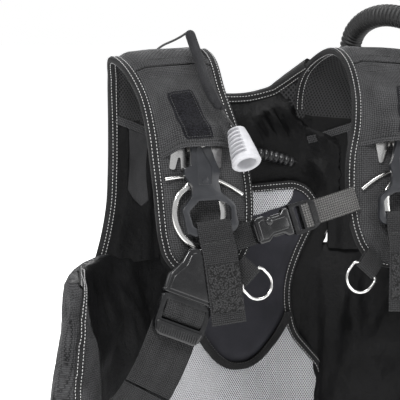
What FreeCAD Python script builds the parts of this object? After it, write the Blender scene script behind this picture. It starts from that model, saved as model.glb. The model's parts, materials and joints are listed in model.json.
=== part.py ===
"""A jacket-style buoyancy compensator vest, as separate sub-parts.

Millimetres. +Z up, the chest side faces -Y, the wearer's left is +X.
The origin is the middle of the tank band, on the tank's axis.
Names start with the wearer's side: right_ at -X, left_ at +X.
"""
import FreeCAD, Part
import math
import os
from FreeCAD import Placement, Rotation, Vector

os.makedirs("parts", exist_ok=True)
doc = FreeCAD.newDocument("vest")

# ---------------------------------------------------------------- driving dimensions
SIZES = {
    # tank and backpack
    "tank_radius": 92, "band_width": 50, "band_thick": 2.5,
    "plate_half": 105, "plate_top": 170, "plate_bottom": -160, "plate_front": 113, "pad_rubber": 3,
    # back of the vest
    "cell_front": 128, "cell_wrap": 60, "cell_wrap_at": 165, "cell_thick": 14, "neck_height": 284,
    "lining_front": 150, "lining_thick": 4, "lining_top": 186, "back_pad_thick": 11,
    "handle_height": 220, "handle_radius": 7, "handle_half": 66, "handle_front": 152,
    "wing_top": 106, "wing_bottom": -235,
    # shoulder pads: the plane of the front of each pad
    "pad_x": 105, "pad_y": 335, "pad_z": 205, "pad_tilt": 10, "pad_thick": 14,
    # shoulder hardware, heights out of the pad's front
    "pivot_across": -6, "pivot_up": 50, "pivot_radius": 4.9, "pivot_play": 0.07,
    "base_thick": 2, "ring_lift": 5, "ring_thick": 4, "yoke_lift": 10.8, "yoke_thick": 6,
    "spine_thick": 0.8, "rod_radius": 2, "keeper_width": 36, "keeper_thick": 1.4,
    "buckle_lift": 9.6, "buckle_thick": 12, "buckle_turn": 22.7, "buckle_half": 26, "arm_thick": 6,
    "arm_play": 0.5, "lower_width": 50, "webbing_thick": 2,
    "small_rod": 1.5, "small_half": 15,
    # chest and waist
    "chest_turn": 14.5, "chest_width": 25, "chest_thick": 10,
    "waist_drop": 150, "waist_width": 50, "waist_front": 380,
    # dump valve, inflator
    "sleeve_radius": 5, "sleeve_bore": 3, "cord_radius": 1.2,
    "knob_top": 8, "knob_low": 15, "knob_length": 42,
    "valve_radius": 31, "hose_radius": 12.5, "button_radius": 7,
    # weight sleeves
    "weight_width": 36, "weight_long": 120, "weight_tall": 120, "weight_wall": 2.5,
    "weight_turn": 14,
}
sheet = doc.addObject("Spreadsheet::Sheet", "sizes")
for row, (alias, value) in enumerate(SIZES.items(), start=1):
    sheet.set(f"A{row}", alias)
    sheet.set(f"B{row}", str(value))
    sheet.setAlias(f"B{row}", alias)
doc.recompute()

RIGHT, LEFT = -1, 1
SIDE_NAMES = {RIGHT: "right", LEFT: "left"}
NODES = []
PAIRS = {"base_plates": [], "rivets": [], "cross_rods": [], "ring_tabs": []}


def size(alias):
    """One driving dimension, read from the sheet."""
    return float(getattr(sheet, alias))


# ---------------------------------------------------------------- places
def pad_place(side, across=0.0, up=0.0, out=0.0, turn=0.0):
    """A placement on the front plane of a shoulder pad.

    Local X runs across to the wearer's left, local Y up the pad, local Z out of it. `across` and
    `turn` are given for the right pad and are mirrored for the left.
    """
    origin = Vector(side * size("pad_x"), -size("pad_y"), size("pad_z"))
    plane = Placement(origin, Rotation(Vector(1, 0, 0), 90 - size("pad_tilt")))
    local = Placement(Vector(-side * across, up, out), Rotation(Vector(0, 0, 1), -side * turn))
    return plane * local


def on_pad(side, across, up, out):
    """A point given on a shoulder pad, in the row's frame."""
    return pad_place(side).multVec(Vector(-side * across, up, out))


def mirrored(points, side):
    """Local outline points, drawn for the right side, flipped for the left."""
    return [(-side * x, y) for x, y in points]


# ---------------------------------------------------------------- outlines
def rounded_edges(points, radius):
    """Edges of a closed outline whose corners are rounded."""
    corners = []
    count = len(points)
    for index in range(count):
        before = Vector(*points[index - 1], 0)
        corner = Vector(*points[index], 0)
        after = Vector(*points[(index + 1) % count], 0)
        back = before - corner
        ahead = after - corner
        half = back.getAngle(ahead) / 2
        reach = min(radius / math.tan(half), 0.45 * back.Length, 0.45 * ahead.Length)
        start = corner + back.normalize() * reach
        end = corner + ahead.normalize() * reach
        bulge = reach * math.tan(half)
        centre_way = (back + ahead).normalize()
        centre = corner + centre_way * math.hypot(reach, bulge)
        corners.append((start, centre - centre_way * bulge, end))
    edges = []
    for index, (start, middle, end) in enumerate(corners):
        next_start = corners[(index + 1) % count][0]
        edges.append(Part.Arc(start, middle, end))
        edges.append(Part.LineSegment(end, next_start))
    return edges


def smooth_edge(points):
    """One closed smooth curve through the points."""
    curve = Part.BSplineCurve()
    curve.interpolate([Vector(x, y, 0) for x, y in points], PeriodicFlag=True)
    return [curve]


def circle_edge(x, y, radius):
    return [Part.Circle(Vector(x, y, 0), Vector(0, 0, 1), radius)]


def outline_face(edge_lists, height=0.0):
    """A flat face from an outer outline and any inner ones."""
    wires = [Part.Wire(Part.__sortEdges__([edge.toShape() for edge in edges])) for edges in edge_lists]
    face = Part.Face(wires) if len(wires) == 1 else Part.makeFace(wires, "Part::FaceMakerBullseye")
    face.translate(Vector(0, 0, height))
    return face


def ribbon_shape(points, thick, start, end):
    """A bent strip: its centre line in local Y-Z, its thickness, and its span along local X."""
    left, right = [], []
    count = len(points)
    for index, (along, out) in enumerate(points):
        here = Vector(0, along, out)
        ahead = Vector(0, *points[min(index + 1, count - 1)]) - here
        behind = here - Vector(0, *points[max(index - 1, 0)])
        ahead = (ahead if ahead.Length > 0 else behind).normalize()
        behind = (behind if behind.Length > 0 else ahead).normalize()
        way = (ahead + behind).normalize()
        normal = Vector(0, -way.z, way.y)
        widen = thick / 2 / max(0.5, way.dot(ahead))
        left.append(here + normal * widen)
        right.append(here - normal * widen)
    loop = left + right[::-1]
    face = Part.Face(Part.makePolygon(loop + [loop[0]]))
    face.translate(Vector(start, 0, 0))
    return face.extrude(Vector(end - start, 0, 0))


def tube_shape(wire, radius, bore=0.0):
    """A round tube swept along a smooth wire."""
    start = wire.Edges[0].valueAt(wire.Edges[0].FirstParameter)
    way = wire.Edges[0].tangentAt(wire.Edges[0].FirstParameter)
    ring = Part.Wire(Part.Circle(start, way, radius).toShape())
    solid = wire.makePipeShell([ring], True, True)
    if bore:
        hole = Part.Wire(Part.Circle(start, way, bore).toShape())
        solid = solid.cut(wire.makePipeShell([hole], True, True))
    return solid


def eased_wire(points):
    """Straight runs joined by tangent arcs, each arc as large as its runs allow."""
    edges = []
    last = points[0]
    for before, corner, after in zip(points, points[1:], points[2:]):
        back = (before - corner)
        ahead = (after - corner)
        reach = 0.45 * min(back.Length, ahead.Length)
        half = back.getAngle(ahead) / 2
        back.normalize()
        ahead.normalize()
        start = corner + back * reach
        end = corner + ahead * reach
        bulge = reach * math.tan(half)
        centre_way = (back + ahead).normalize()
        middle = corner + centre_way * (math.hypot(reach, bulge) - bulge)
        edges.append(Part.LineSegment(last, start).toShape())
        edges.append(Part.Arc(start, middle, end).toShape())
        last = end
    edges.append(Part.LineSegment(last, points[-1]).toShape())
    return Part.Wire(edges)


# ---------------------------------------------------------------- object builders
def keep(feature, label):
    """Note a finished sub-part: its label names its node."""
    feature.Label = label
    NODES.append(feature)
    return feature


def shape_part(label, shape, place=None):
    """A sub-part whose shape is made from the sheet's sizes by Part's functions."""
    feature = doc.addObject("Part::Feature", label)
    feature.Shape = shape
    feature.Placement = place or Placement()
    return keep(feature, label)


def pair_piece(group, shape, place):
    """One of a pair of like pieces that share a node, in its place."""
    piece = shape.copy()
    piece.Placement = place
    PAIRS[group].append(piece)


def add_pad(body, name, outlines, length, height=0.0):
    """A sketch on the body's XY plane, padded by an expression."""
    sketch = body.newObject("Sketcher::SketchObject", name + "_sketch")
    plane = [item for item in body.Origin.OriginFeatures if item.Role == "XY_Plane"][0]
    sketch.AttachmentSupport = [(plane, "")]
    sketch.MapMode = "FlatFace"
    sketch.AttachmentOffset = Placement(Vector(0, 0, height), Rotation())
    for edges in outlines:
        sketch.addGeometry(edges, False)
    pad = body.newObject("PartDesign::Pad", name + "_pad")
    pad.Profile = sketch
    pad.setExpression("Length", length)
    sketch.Visibility = False
    return pad


def plate_part(label, outlines, length, place, extra=()):
    """A flat piece made as a PartDesign body; `extra` pads are (outlines, length, height)."""
    body = doc.addObject("PartDesign::Body", label)
    add_pad(body, label + "_base", outlines, length)
    for number, (more, more_length, height) in enumerate(extra):
        add_pad(body, f"{label}_{number}", more, more_length, height)
    body.Placement = place
    return keep(body, label)


def cut_part(label, base, tool, place):
    """A piece with a pocket: base minus tool, then placed."""
    cut = doc.addObject("Part::Cut", label)
    cut.Base = base
    cut.Tool = tool
    cut.Placement = place
    return keep(cut, label)


def block(name, length, width, height, corner):
    """A Part box whose sides are expressions."""
    box = doc.addObject("Part::Box", name)
    box.setExpression("Length", length)
    box.setExpression("Width", width)
    box.setExpression("Height", height)
    box.Placement = Placement(corner, Rotation())
    return box


def rod(name, radius, height, place):
    """A Part cylinder whose sizes are expressions."""
    cylinder = doc.addObject("Part::Cylinder", name)
    cylinder.setExpression("Radius", radius)
    cylinder.setExpression("Height", height)
    cylinder.Placement = place
    return cylinder


def wrap(x):
    """How far the vest's back has curved forward at a distance x from its middle."""
    return size("cell_wrap") * (x / size("cell_wrap_at")) ** 2


def crescent(start, end, front, thick, low, high):
    """A curved upright panel: front face at -Y `front` plus the wrap, `thick` deep."""
    steps = 8
    across = [start + (end - start) * step / steps for step in range(steps + 1)]
    inner = [Vector(x, -front - wrap(x), low) for x in across]
    outer = [Vector(x, -front - wrap(x) + thick, low) for x in across[::-1]]
    face_in = Part.BSplineCurve()
    face_in.interpolate(inner)
    face_out = Part.BSplineCurve()
    face_out.interpolate(outer)
    ends = [Part.LineSegment(inner[-1], outer[0]), Part.LineSegment(outer[-1], inner[0])]
    edges = [face_in.toShape(), ends[0].toShape(), face_out.toShape(), ends[1].toShape()]
    return Part.Face(Part.Wire(edges)).extrude(Vector(0, 0, high - low))


def upright_prism(outlines, depth):
    """A front-view outline (x, z) extruded right through the vest's depth."""
    face = outline_face(outlines)
    face.rotate(Vector(), Vector(1, 0, 0), 90)
    face.translate(Vector(0, depth, 0))
    return face.extrude(Vector(0, -2 * depth, 0))


# ---------------------------------------------------------------- tank band and backpack
def make_backpack():
    plate_half = size("plate_half")
    top = size("plate_top")
    bottom = size("plate_bottom")
    cradle = size("tank_radius") + size("band_thick") + size("pad_rubber")
    outline = [(-plate_half, bottom + 60), (-70, bottom), (70, bottom), (plate_half, bottom + 60),
               (plate_half, top - 70), (62, top), (-62, top), (-plate_half, top - 70)]
    slots = [[(x - 5, -32), (x + 5, -32), (x + 5, 32), (x - 5, 32)] for x in (-78, 78)]
    loops = [rounded_edges(outline, 24)] + [rounded_edges(slot, 3) for slot in slots]
    prism = upright_prism(loops, 300)
    depth = Part.makeBox(400, 26, 800, Vector(-200, -size("plate_front"), -400))
    tank = Part.makeCylinder(cradle + 0.3, 800, Vector(0, 0, -400))
    shape_part("backpack_plate", prism.common(depth).cut(tank))

    sector = Part.makeBox(130, 120, 180, Vector(-65, -140, -90))
    grip = Part.makeCylinder(cradle, 180, Vector(0, 0, -90)).common(sector)
    bore = Part.makeCylinder(size("tank_radius") + size("band_thick") + 0.1, 200, Vector(0, 0, -100))
    shape_part("tank_grip_pad", grip.cut(bore))

    outer = rod("band_outer", "sizes.tank_radius + sizes.band_thick", "sizes.band_width", Placement())
    inner = rod("band_inner", "sizes.tank_radius", "sizes.band_width", Placement())
    cut_part("tank_band", outer, inner, Placement(Vector(0, 0, -size("band_width") / 2), Rotation()))


def make_cam_buckle():
    """A cam buckle on the rear of the tank band: frame with its pin, and lever."""
    rear = size("tank_radius") + size("band_thick") + 0.3
    half = size("band_width") / 2
    base = Part.makeBox(52, 2.5, 2 * half + 8, Vector(-26, rear + 0.8, -half - 4))
    cheeks = [Part.makeBox(30, 14, 3, Vector(-20, rear + 0.8, z)) for z in (-half - 4, half + 1)]
    pin = Part.makeCylinder(2.5, 2 * half + 8, Vector(-10, rear + 10, -half - 4))
    shape_part("cam_buckle_frame", base.multiFuse(cheeks + [pin]).removeSplitter())

    lever = Part.makeBox(62, 5, 2 * half + 1, Vector(-15, rear + 8, -half - 0.5))
    eye = Part.makeCylinder(5, 2 * half + 1, Vector(-10, rear + 10, -half - 0.5))
    bore = Part.makeCylinder(2.57, 2 * half + 9, Vector(-10, rear + 10, -half - 4.5))
    shape_part("cam_buckle_lever", lever.fuse(eye).cut(bore).removeSplitter())


# ---------------------------------------------------------------- back of the vest
def make_back():
    neck = size("neck_height")
    top = size("wing_top")
    low = size("wing_bottom")
    outline = [(-98, low), (98, low), (98, top), (56, top + 24), (54, neck + 6), (0, neck - 6),
               (-54, neck + 6), (-56, top + 24), (-98, top)]
    panel = crescent(-120, 120, size("cell_front"), size("cell_thick"), low - 20, neck + 40)
    shape_part("air_cell", panel.common(upright_prism([rounded_edges(outline, 22)], 400)))

    lining_top = size("lining_top")
    lining = [(-96, 168), (-60, lining_top), (60, lining_top), (96, 168), (92, 125), (70, 75), (72, 25),
              (92, -10), (92, -190), (-92, -190), (-92, -10), (-72, 25), (-70, 75), (-92, 125)]
    sheet_panel = crescent(-120, 120, size("lining_front"), size("lining_thick"), -260, 260)
    shape_part("mesh_lining", sheet_panel.common(upright_prism([rounded_edges(lining, 20)], 400)))

    tongue = [(-66, 22), (-34, -25), (34, -25), (66, 22), (70, 75), (76, 120), (62, 163), (-62, 163),
              (-76, 120), (-70, 75)]
    front = size("lining_front") + size("back_pad_thick") + 0.5
    pad = crescent(-80, 80, front, size("back_pad_thick") - 0.2, -60, 200)
    shape_part("back_pad", pad.common(upright_prism([rounded_edges(tongue, 34)], 400)))


def make_handle():
    """An arched carry handle across the nape: ribbed grip on a webbing core with two sewn ends."""
    half = size("handle_half")
    height = size("handle_height")
    front = -size("handle_front")
    sag = Vector(half, front, height - 10)
    arc = Part.Wire(Part.Arc(Vector(-half, front, height - 10), Vector(0, front, height + 3),
                             sag).toShape())
    shape_part("carry_handle_grip", tube_shape(arc, size("handle_radius"), 3.1))
    core = Part.Wire(Part.Arc(Vector(-half, front, height - 10), Vector(0, front, height + 3),
                              sag).toShape())
    webbing = tube_shape(core, 3.0)
    ends = []
    for side in (RIGHT, LEFT):
        corner = Vector(side * (half + 9.5) - 6.5, front - 4, height - 22)
        ends.append(Part.makeBox(13, 19, 16, corner))
    shape_part("carry_handle_webbing", webbing.multiFuse(ends).removeSplitter())


def make_wing(side):
    """One side lobe of the air cell, curving from the back round the wearer's waist."""
    spine = [(102, 158, 14), (150, 190, 20), (196, 232, 22), (226, 282, 20), (240, 330, 12)]
    inner, outer = [], []
    for number, (across, ahead, half) in enumerate(spine):
        before = spine[max(number - 1, 0)]
        after = spine[min(number + 1, len(spine) - 1)]
        way = Vector(after[0] - before[0], after[1] - before[1], 0).normalize()
        inner.append(Vector(across - way.y * half, ahead + way.x * half, 0))
        outer.append(Vector(across + way.y * half, ahead - way.x * half, 0))
    curves = []
    for line in (inner, outer[::-1]):
        curve = Part.BSplineCurve()
        curve.interpolate([Vector(side * p.x, -p.y, size("wing_bottom")) for p in line])
        curves.append(curve)
    joins = [Part.LineSegment(curves[0].EndPoint, curves[1].StartPoint),
             Part.LineSegment(curves[1].EndPoint, curves[0].StartPoint)]
    edges = [curves[0].toShape(), joins[0].toShape(), curves[1].toShape(), joins[1].toShape()]
    height = size("wing_top") - size("wing_bottom")
    lobe = Part.Face(Part.Wire(edges)).extrude(Vector(0, 0, height))
    side_view = [(-100, -260), (-100, 130), (-250, 106), (-345, 40), (-350, -150), (-290, -236)]
    face = outline_face([rounded_edges(side_view, 40)])
    face.rotate(Vector(), Vector(1, 1, 1), 120)
    face.translate(Vector(-400, 0, 0))
    shape_part(SIDE_NAMES[side] + "_air_lobe", lobe.common(face.extrude(Vector(800, 0, 0))))


# ---------------------------------------------------------------- shoulders
def make_strap(side):
    """The padded shoulder strap, from the back over the shoulder to the chest."""
    half = size("pad_thick") / 2
    tilt = math.radians(size("pad_tilt"))
    front_normal = Vector(0, -math.cos(tilt), math.sin(tilt))
    sections = [
        (Vector(187, -212, 112), Vector(102, -170, 112), Vector(-0.45, 0.88, 0)),
        (Vector(168, -199, 178), Vector(101, -168, 178), Vector(-0.42, 0.9, 0)),
        (Vector(166, -198, 208), Vector(86, -160, 208), Vector(-0.4, 0.9, 0)),
        (Vector(167, -204, 262), Vector(66, -159, 268), Vector(-0.3, 0.85, 0.35)),
        (Vector(172, -220, 311), Vector(64, -186, 318), Vector(-0.15, 0.6, 0.8)),
        (Vector(177, -244, 333), Vector(71, -240, 340), Vector(0, 0.05, 1)),
        (Vector(171, -272, 323), Vector(72, -274, 330), Vector(0, -0.5, 0.87)),
        (Vector(163, -296, 298), Vector(71.5, -298, 302), Vector(0, -0.82, 0.57)),
    ]
    strap = []
    for outer, inner, normal in sections:
        place = (Vector(side * outer.x, outer.y, outer.z), Vector(side * inner.x, inner.y, inner.z))
        strap.append((*place, Vector(-side * normal.x, normal.y, normal.z).normalize()))
    for outer_across, inner_across, up in [(-55.5, 41, 62), (-51, 52, 0), (-49, 49, -50),
                                           (-41, 38, -72), (-22, 20, -84)]:
        strap.append((on_pad(side, outer_across, up, -half), on_pad(side, inner_across, up, -half),
                      front_normal))
    wires = []
    for outer, inner, normal in strap:
        lift = normal * half
        loop = [outer + lift, inner + lift, inner - lift, outer - lift]
        wires.append(Part.makePolygon(loop + [loop[0]]))
    shape_part(SIDE_NAMES[side] + "_shoulder_strap", Part.makeLoft(wires, True, True))


def make_shoulder_hardware(side):
    name = SIDE_NAMES[side] + "_"
    flip = -side
    pivot_across = size("pivot_across")
    pivot_up = size("pivot_up")
    at_pivot = pad_place(side, pivot_across, pivot_up, 0)
    hole = size("pivot_radius") + size("pivot_play")

    # cover flap: a bent leaf from the upper pad out over the pivot
    flap = [(94, 2.2), (84, 6), (72, 12), (62, 21), (42, 22)]
    spans = sorted((-flip * 46, flip * 20))
    shape_part(name + "cover_flap", ribbon_shape(flap, 3, *spans), pad_place(side))

    # stainless base plate, its legs showing on both sides of the yoke
    legs = [(-24, 14), (20, 14), (26, -8), (23.5, -29), (19.5, -29), (10.5, -11), (-12, -11),
            (-12, -31), (-18.5, -31), (-18.5, -9), (-25, -29), (-31, -28), (-27, -6)]
    base_face = outline_face([rounded_edges(mirrored(legs, side), 2.5)])
    pair_piece("base_plates", base_face.extrude(Vector(0, 0, size("base_thick"))),
               pad_place(side, pivot_across, pivot_up, 0.3))

    # rivet: foot, collars between ring and yoke, and head
    foot = 0.3 + size("base_thick")
    ring_low = size("ring_lift")
    ring_high = ring_low + size("ring_thick")
    yoke_low = size("yoke_lift")
    yoke_high = yoke_low + size("yoke_thick")
    radius = size("pivot_radius")
    steps = [(0, foot), (9, foot), (9, ring_low - 0.2), (radius, ring_low - 0.2),
             (radius, ring_high + 0.2),
             (7.5, ring_high + 0.2), (7.5, yoke_low - 0.2), (radius, yoke_low - 0.2),
             (radius, yoke_high + 0.2),
             (8.5, yoke_high + 0.2), (7, yoke_high + 2), (0, yoke_high + 2)]
    profile = Part.Face(Part.makePolygon([Vector(r, 0, z) for r, z in steps + [steps[0]]]))
    pair_piece("rivets", profile.revolve(Vector(), Vector(0, 0, 1), 360), at_pivot)

    # swivel ring: a flat stainless oval on a narrow neck, hung on the rivet
    outer = [(0, 10), (-7.5, 6), (-9, -6), (-9, -34), (-17, -45), (-27, -54), (-32, -70),
             (-29, -90), (-18, -104),
             (-3, -110), (12, -104), (21, -90), (24, -70), (20, -55), (12, -46), (8.5, -34),
             (8.5, -6), (7.5, 6)]
    inner = [(-3, -49), (-13, -50.5), (-22, -57), (-26, -70), (-23.5, -87), (-14.5, -99.5), (-3, -104),
             (8.5, -99.5), (15.5, -87), (18, -70), (15, -58), (7, -50.5)]
    ring_edges = [smooth_edge(mirrored(outer, side)), smooth_edge(mirrored(inner, side)),
                  circle_edge(0, 0, hole)]
    plate_part(name + "swivel_ring", ring_edges, "sizes.ring_thick",
               pad_place(side, pivot_across, pivot_up, ring_low))

    # yoke: plastic link with a spine, turning on the same rivet
    yoke = [(-9, 11), (9, 11), (9.5, 0), (8.5, -8), (14.5, -26), (17.5, -33), (15.2, -42),
            (17, -54), (31, -65),
            (34, -87), (29, -93), (-12, -96.5), (-19, -93), (-23.5, -70), (-13, -57), (-11.5, -48),
            (-19.5, -36), (-19, -28.5), (-12, -26.5), (-11, -7)]
    opening = [(-6.5, -61.5), (13, -61), (23, -65), (27.5, -69), (27, -81), (24, -85.5), (-10, -89.5),
               (-14, -86), (-17.5, -72)]
    spine = [(-7, -9), (-1.5, -9), (8.5, -28), (7.5, -46), (-6, -46), (-7, -28)]
    yoke_edges = [rounded_edges(mirrored(yoke, side), 4), rounded_edges(mirrored(opening, side), 4),
                  circle_edge(0, 0, hole)]
    spine_pad = ([rounded_edges(mirrored(spine, side), 1.5)], "sizes.spine_thick", size("yoke_thick"))
    plate_part(name + "yoke", yoke_edges, "sizes.yoke_thick",
               pad_place(side, pivot_across, pivot_up, yoke_low), [spine_pad])

    # cross rod: bent stainless rod on the pad behind the ring
    bend = [Vector(flip * x, y, size("rod_radius") + 0.3)
            for x, y in [(-42, 12), (-24, 14), (-6, 14.5), (12, 10), (27, 2), (39, -6)]]
    pair_piece("cross_rods", tube_shape(eased_wire(bend), size("rod_radius")), pad_place(side))

    # keeper webbing: wraps the yoke's lower bar and lies down over the buckle
    thick = size("keeper_thick")
    front_out = yoke_high + thick / 2 + 0.2
    back_out = yoke_low - thick / 2 - 0.2
    over = size("buckle_lift") + size("buckle_thick") + thick
    keeper = [(-96, over), (-19, over), (-9, front_out), (4, front_out), (6.6, front_out - 1.5),
              (6.6, back_out + 1.5), (4, back_out), (-9, back_out)]
    half = size("keeper_width") / 2
    shape_part(name + "keeper_webbing", ribbon_shape(keeper, thick, -half, half),
               pad_place(side, 2, -39.5, 0, 4.5))


def make_shoulder_buckle(side):
    """Side-release buckle at the lower end of a shoulder pad: local Y runs up the strap."""
    name = SIDE_NAMES[side] + "_"
    half = size("buckle_half")
    at = pad_place(side, -30, -107.5, size("buckle_lift"), -size("buckle_turn"))
    housing = [(-half, 0), (half, 0), (half, 20), (18, 36), (15, 50), (-15, 50), (-18, 36), (-half, 20)]
    body = doc.addObject("PartDesign::Body", name + "housing")
    add_pad(body, name + "housing_base", [rounded_edges(housing, 5)], "sizes.buckle_thick")
    play = size("arm_play")
    pocket = block(name + "pocket", "2 * (sizes.buckle_half - 3)", "38",
                   "sizes.arm_thick + 2 * sizes.arm_play",
                   Vector(-half + 3, -1, size("buckle_thick") / 2 - size("arm_thick") / 2 - play))
    cut_part(name + "buckle_female", body, pocket, at)

    frame = [(-half, -1), (-half, -30), (-half + 3, -41), (half - 3, -41), (half, -30), (half, -1)]
    slot_top = [(-half + 5, -6), (half - 5, -6), (half - 5, -10), (-half + 5, -10)]
    slot_low = [(-half + 5, -19), (half - 5, -19), (half - 5, -25), (-half + 5, -25)]
    arms = [(-21, -2), (21, -2), (21, 20), (16, 33), (13, 33), (15, 18), (14, 6), (3, 6), (3, 24),
            (-3, 24), (-3, 6), (-14, 6), (-15, 18), (-13, 33), (-16, 33), (-21, 20)]
    arm_low = size("buckle_thick") / 2 - size("arm_thick") / 2
    plate_part(name + "buckle_male",
               [rounded_edges(frame, 3), rounded_edges(slot_top, 1), rounded_edges(slot_low, 1)],
               "sizes.buckle_thick", at, [([rounded_edges(arms, 1)], "sizes.arm_thick", arm_low)])


def make_lower_strap(side):
    """The 50 mm strap from the shoulder buckle back to the foot of the side lobe."""
    half = size("lower_width") / 2
    thick = size("webbing_thick")
    route = [(170, 366, 22), (184, 351, -8), (192, 324, -28), (189, 290, -40), (172, 254, -48)]
    wires = []
    for number, (across, ahead, up) in enumerate(route):
        upright = number / (len(route) - 1)
        across_way = Vector(side * (0.86 - 0.8 * upright), 0, 0.5 + 0.5 * upright)
        centre = Vector(side * across, -ahead, up)
        after = route[min(number + 1, len(route) - 1)]
        before = route[max(number - 1, 0)]
        way = Vector(side * (after[0] - before[0]), before[1] - after[1],
                     after[2] - before[2]).normalize()
        wide = (across_way - way * across_way.dot(way)).normalize()
        flat = way.cross(wide).normalize()
        corners = [wide * half + flat * thick / 2, wide * half - flat * thick / 2,
                   wide * -half - flat * thick / 2, wide * -half + flat * thick / 2]
        loop = [centre + corner for corner in corners]
        wires.append(Part.makePolygon(loop + [loop[0]]))
    shape_part(SIDE_NAMES[side] + "_lower_strap", Part.makeLoft(wires, True, True))


def make_small_ring(side):
    """A small stainless D-ring in a webbing tab at the lower inner corner of a pad."""
    name = SIDE_NAMES[side] + "_"
    half = size("small_half")
    radius = size("small_rod")
    corner = 5
    deep = 26
    at = pad_place(side, 41, -89, 5.4, 43)
    flat_end = half - corner
    diagonal = corner * math.sqrt(0.5)
    bow = half - deep
    path = [Part.LineSegment(Vector(-flat_end, 0, 0), Vector(flat_end, 0, 0)),
            Part.Arc(Vector(flat_end, 0, 0), Vector(flat_end + diagonal, diagonal - corner, 0),
                     Vector(half, -corner, 0)),
            Part.LineSegment(Vector(half, -corner, 0), Vector(half, bow, 0)),
            Part.Arc(Vector(half, bow, 0), Vector(0, -deep, 0), Vector(-half, bow, 0)),
            Part.LineSegment(Vector(-half, bow, 0), Vector(-half, -corner, 0)),
            Part.Arc(Vector(-half, -corner, 0), Vector(-flat_end - diagonal, diagonal - corner, 0),
                     Vector(-flat_end, 0, 0))]
    wire = Part.Wire([edge.toShape() for edge in path])
    ring = tube_shape(wire, radius)
    shape_part(name + "small_ring", ring, at)

    play = 0.3
    out = radius + play + 0.7
    tab = [(14, -4.2), (6, -4.2), (2.2, -out), (-1.6, -out), (-3.2, 0), (-1.6, out), (2.2, out), (8, 0)]
    strip = ribbon_shape(tab, 1.4, -8, 8)
    pair_piece("ring_tabs", strip, at)


# ---------------------------------------------------------------- chest and waist
def make_chest():
    turn = size("chest_turn")
    half = size("chest_width") / 2
    at = pad_place(RIGHT, 49.5, -44.6, 3, turn)
    body = doc.addObject("PartDesign::Body", "chest_housing")
    shell = [(0, -15), (38, -15), (38, 15), (0, 15), (-3, 8), (-3, -8)]
    add_pad(body, "chest_housing_base", [rounded_edges(shell, 4)], "sizes.chest_thick")
    pocket = block("chest_pocket", "31", "24", "6", Vector(8, -12, 2))
    cut_part("chest_buckle_female", body, pocket, at)

    frame = [(39, -16), (66, -15), (68, 0), (66, 15), (39, 16)]
    slot = [(54, -13), (59, -13), (59, 13), (54, 13)]
    arms = [(44, -11), (44, 11), (18, 11), (13, 8), (14, 6), (28, 7), (34, 3), (18, 2),
            (18, -2), (34, -3), (28, -7), (14, -6), (13, -8), (18, -11)]
    plate_part("chest_buckle_male", [rounded_edges(frame, 3), rounded_edges(slot, 1)],
               "sizes.chest_thick", at,
               [([rounded_edges(arms, 0.8)], "5", 2.5)])

    def strip(label, start, end, out):
        webbing = Part.makeBox(end - start, 2 * half, 1.6, Vector(start, -half, out))
        shape_part(label, webbing, at)

    strip("chest_strap_right", -40, -4, -2.4)
    strip("chest_strap_left", 85, 119, -2.4)


def make_waist():
    front = size("waist_front")
    height = -size("waist_drop")
    at = Placement(Vector(-30, -front + 6, height), Rotation(Vector(1, 0, 0), 90))
    body = doc.addObject("PartDesign::Body", "waist_housing")
    shell = [(0, -29), (40, -29), (40, 29), (0, 29), (-8, 24), (-8, -24)]
    add_pad(body, "waist_housing_base", [rounded_edges(shell, 5)], "sizes.buckle_thick")
    pocket = block("waist_pocket", "33", "52", "7", Vector(8, -26, 2.5))
    cut_part("waist_buckle_female", body, pocket, at)
    frame = [(41, -29), (70, -29), (74, -20), (74, 20), (70, 29), (41, 29)]
    slot = [(56, -26), (62, -26), (62, 26), (56, 26)]
    arms = [(46, -22), (46, 22), (18, 22), (12, 17), (14, 14), (28, 15), (34, 4), (16, 3),
            (16, -3), (34, -4), (28, -15), (14, -14), (12, -17), (18, -22)]
    plate_part("waist_buckle_male", [rounded_edges(frame, 4), rounded_edges(slot, 1)],
               "sizes.buckle_thick", at,
               [([rounded_edges(arms, 1)], "sizes.arm_thick", 3)])
    for side in (RIGHT, LEFT):
        start = 40 if side == RIGHT else 76
        route = [(start, front), (110, front - 6), (180, front - 26), (226, front - 44)]
        half = size("waist_width") / 2
        loop = [Vector(side * across, -ahead, height - half) for across, ahead in route]
        back = [point + Vector(0, size("webbing_thick"), 0) for point in loop[::-1]]
        face = Part.Face(Part.makePolygon(loop + back + [loop[0]]))
        shape_part(SIDE_NAMES[side] + "_waist_band", face.extrude(Vector(0, 0, 2 * half)))


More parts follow.
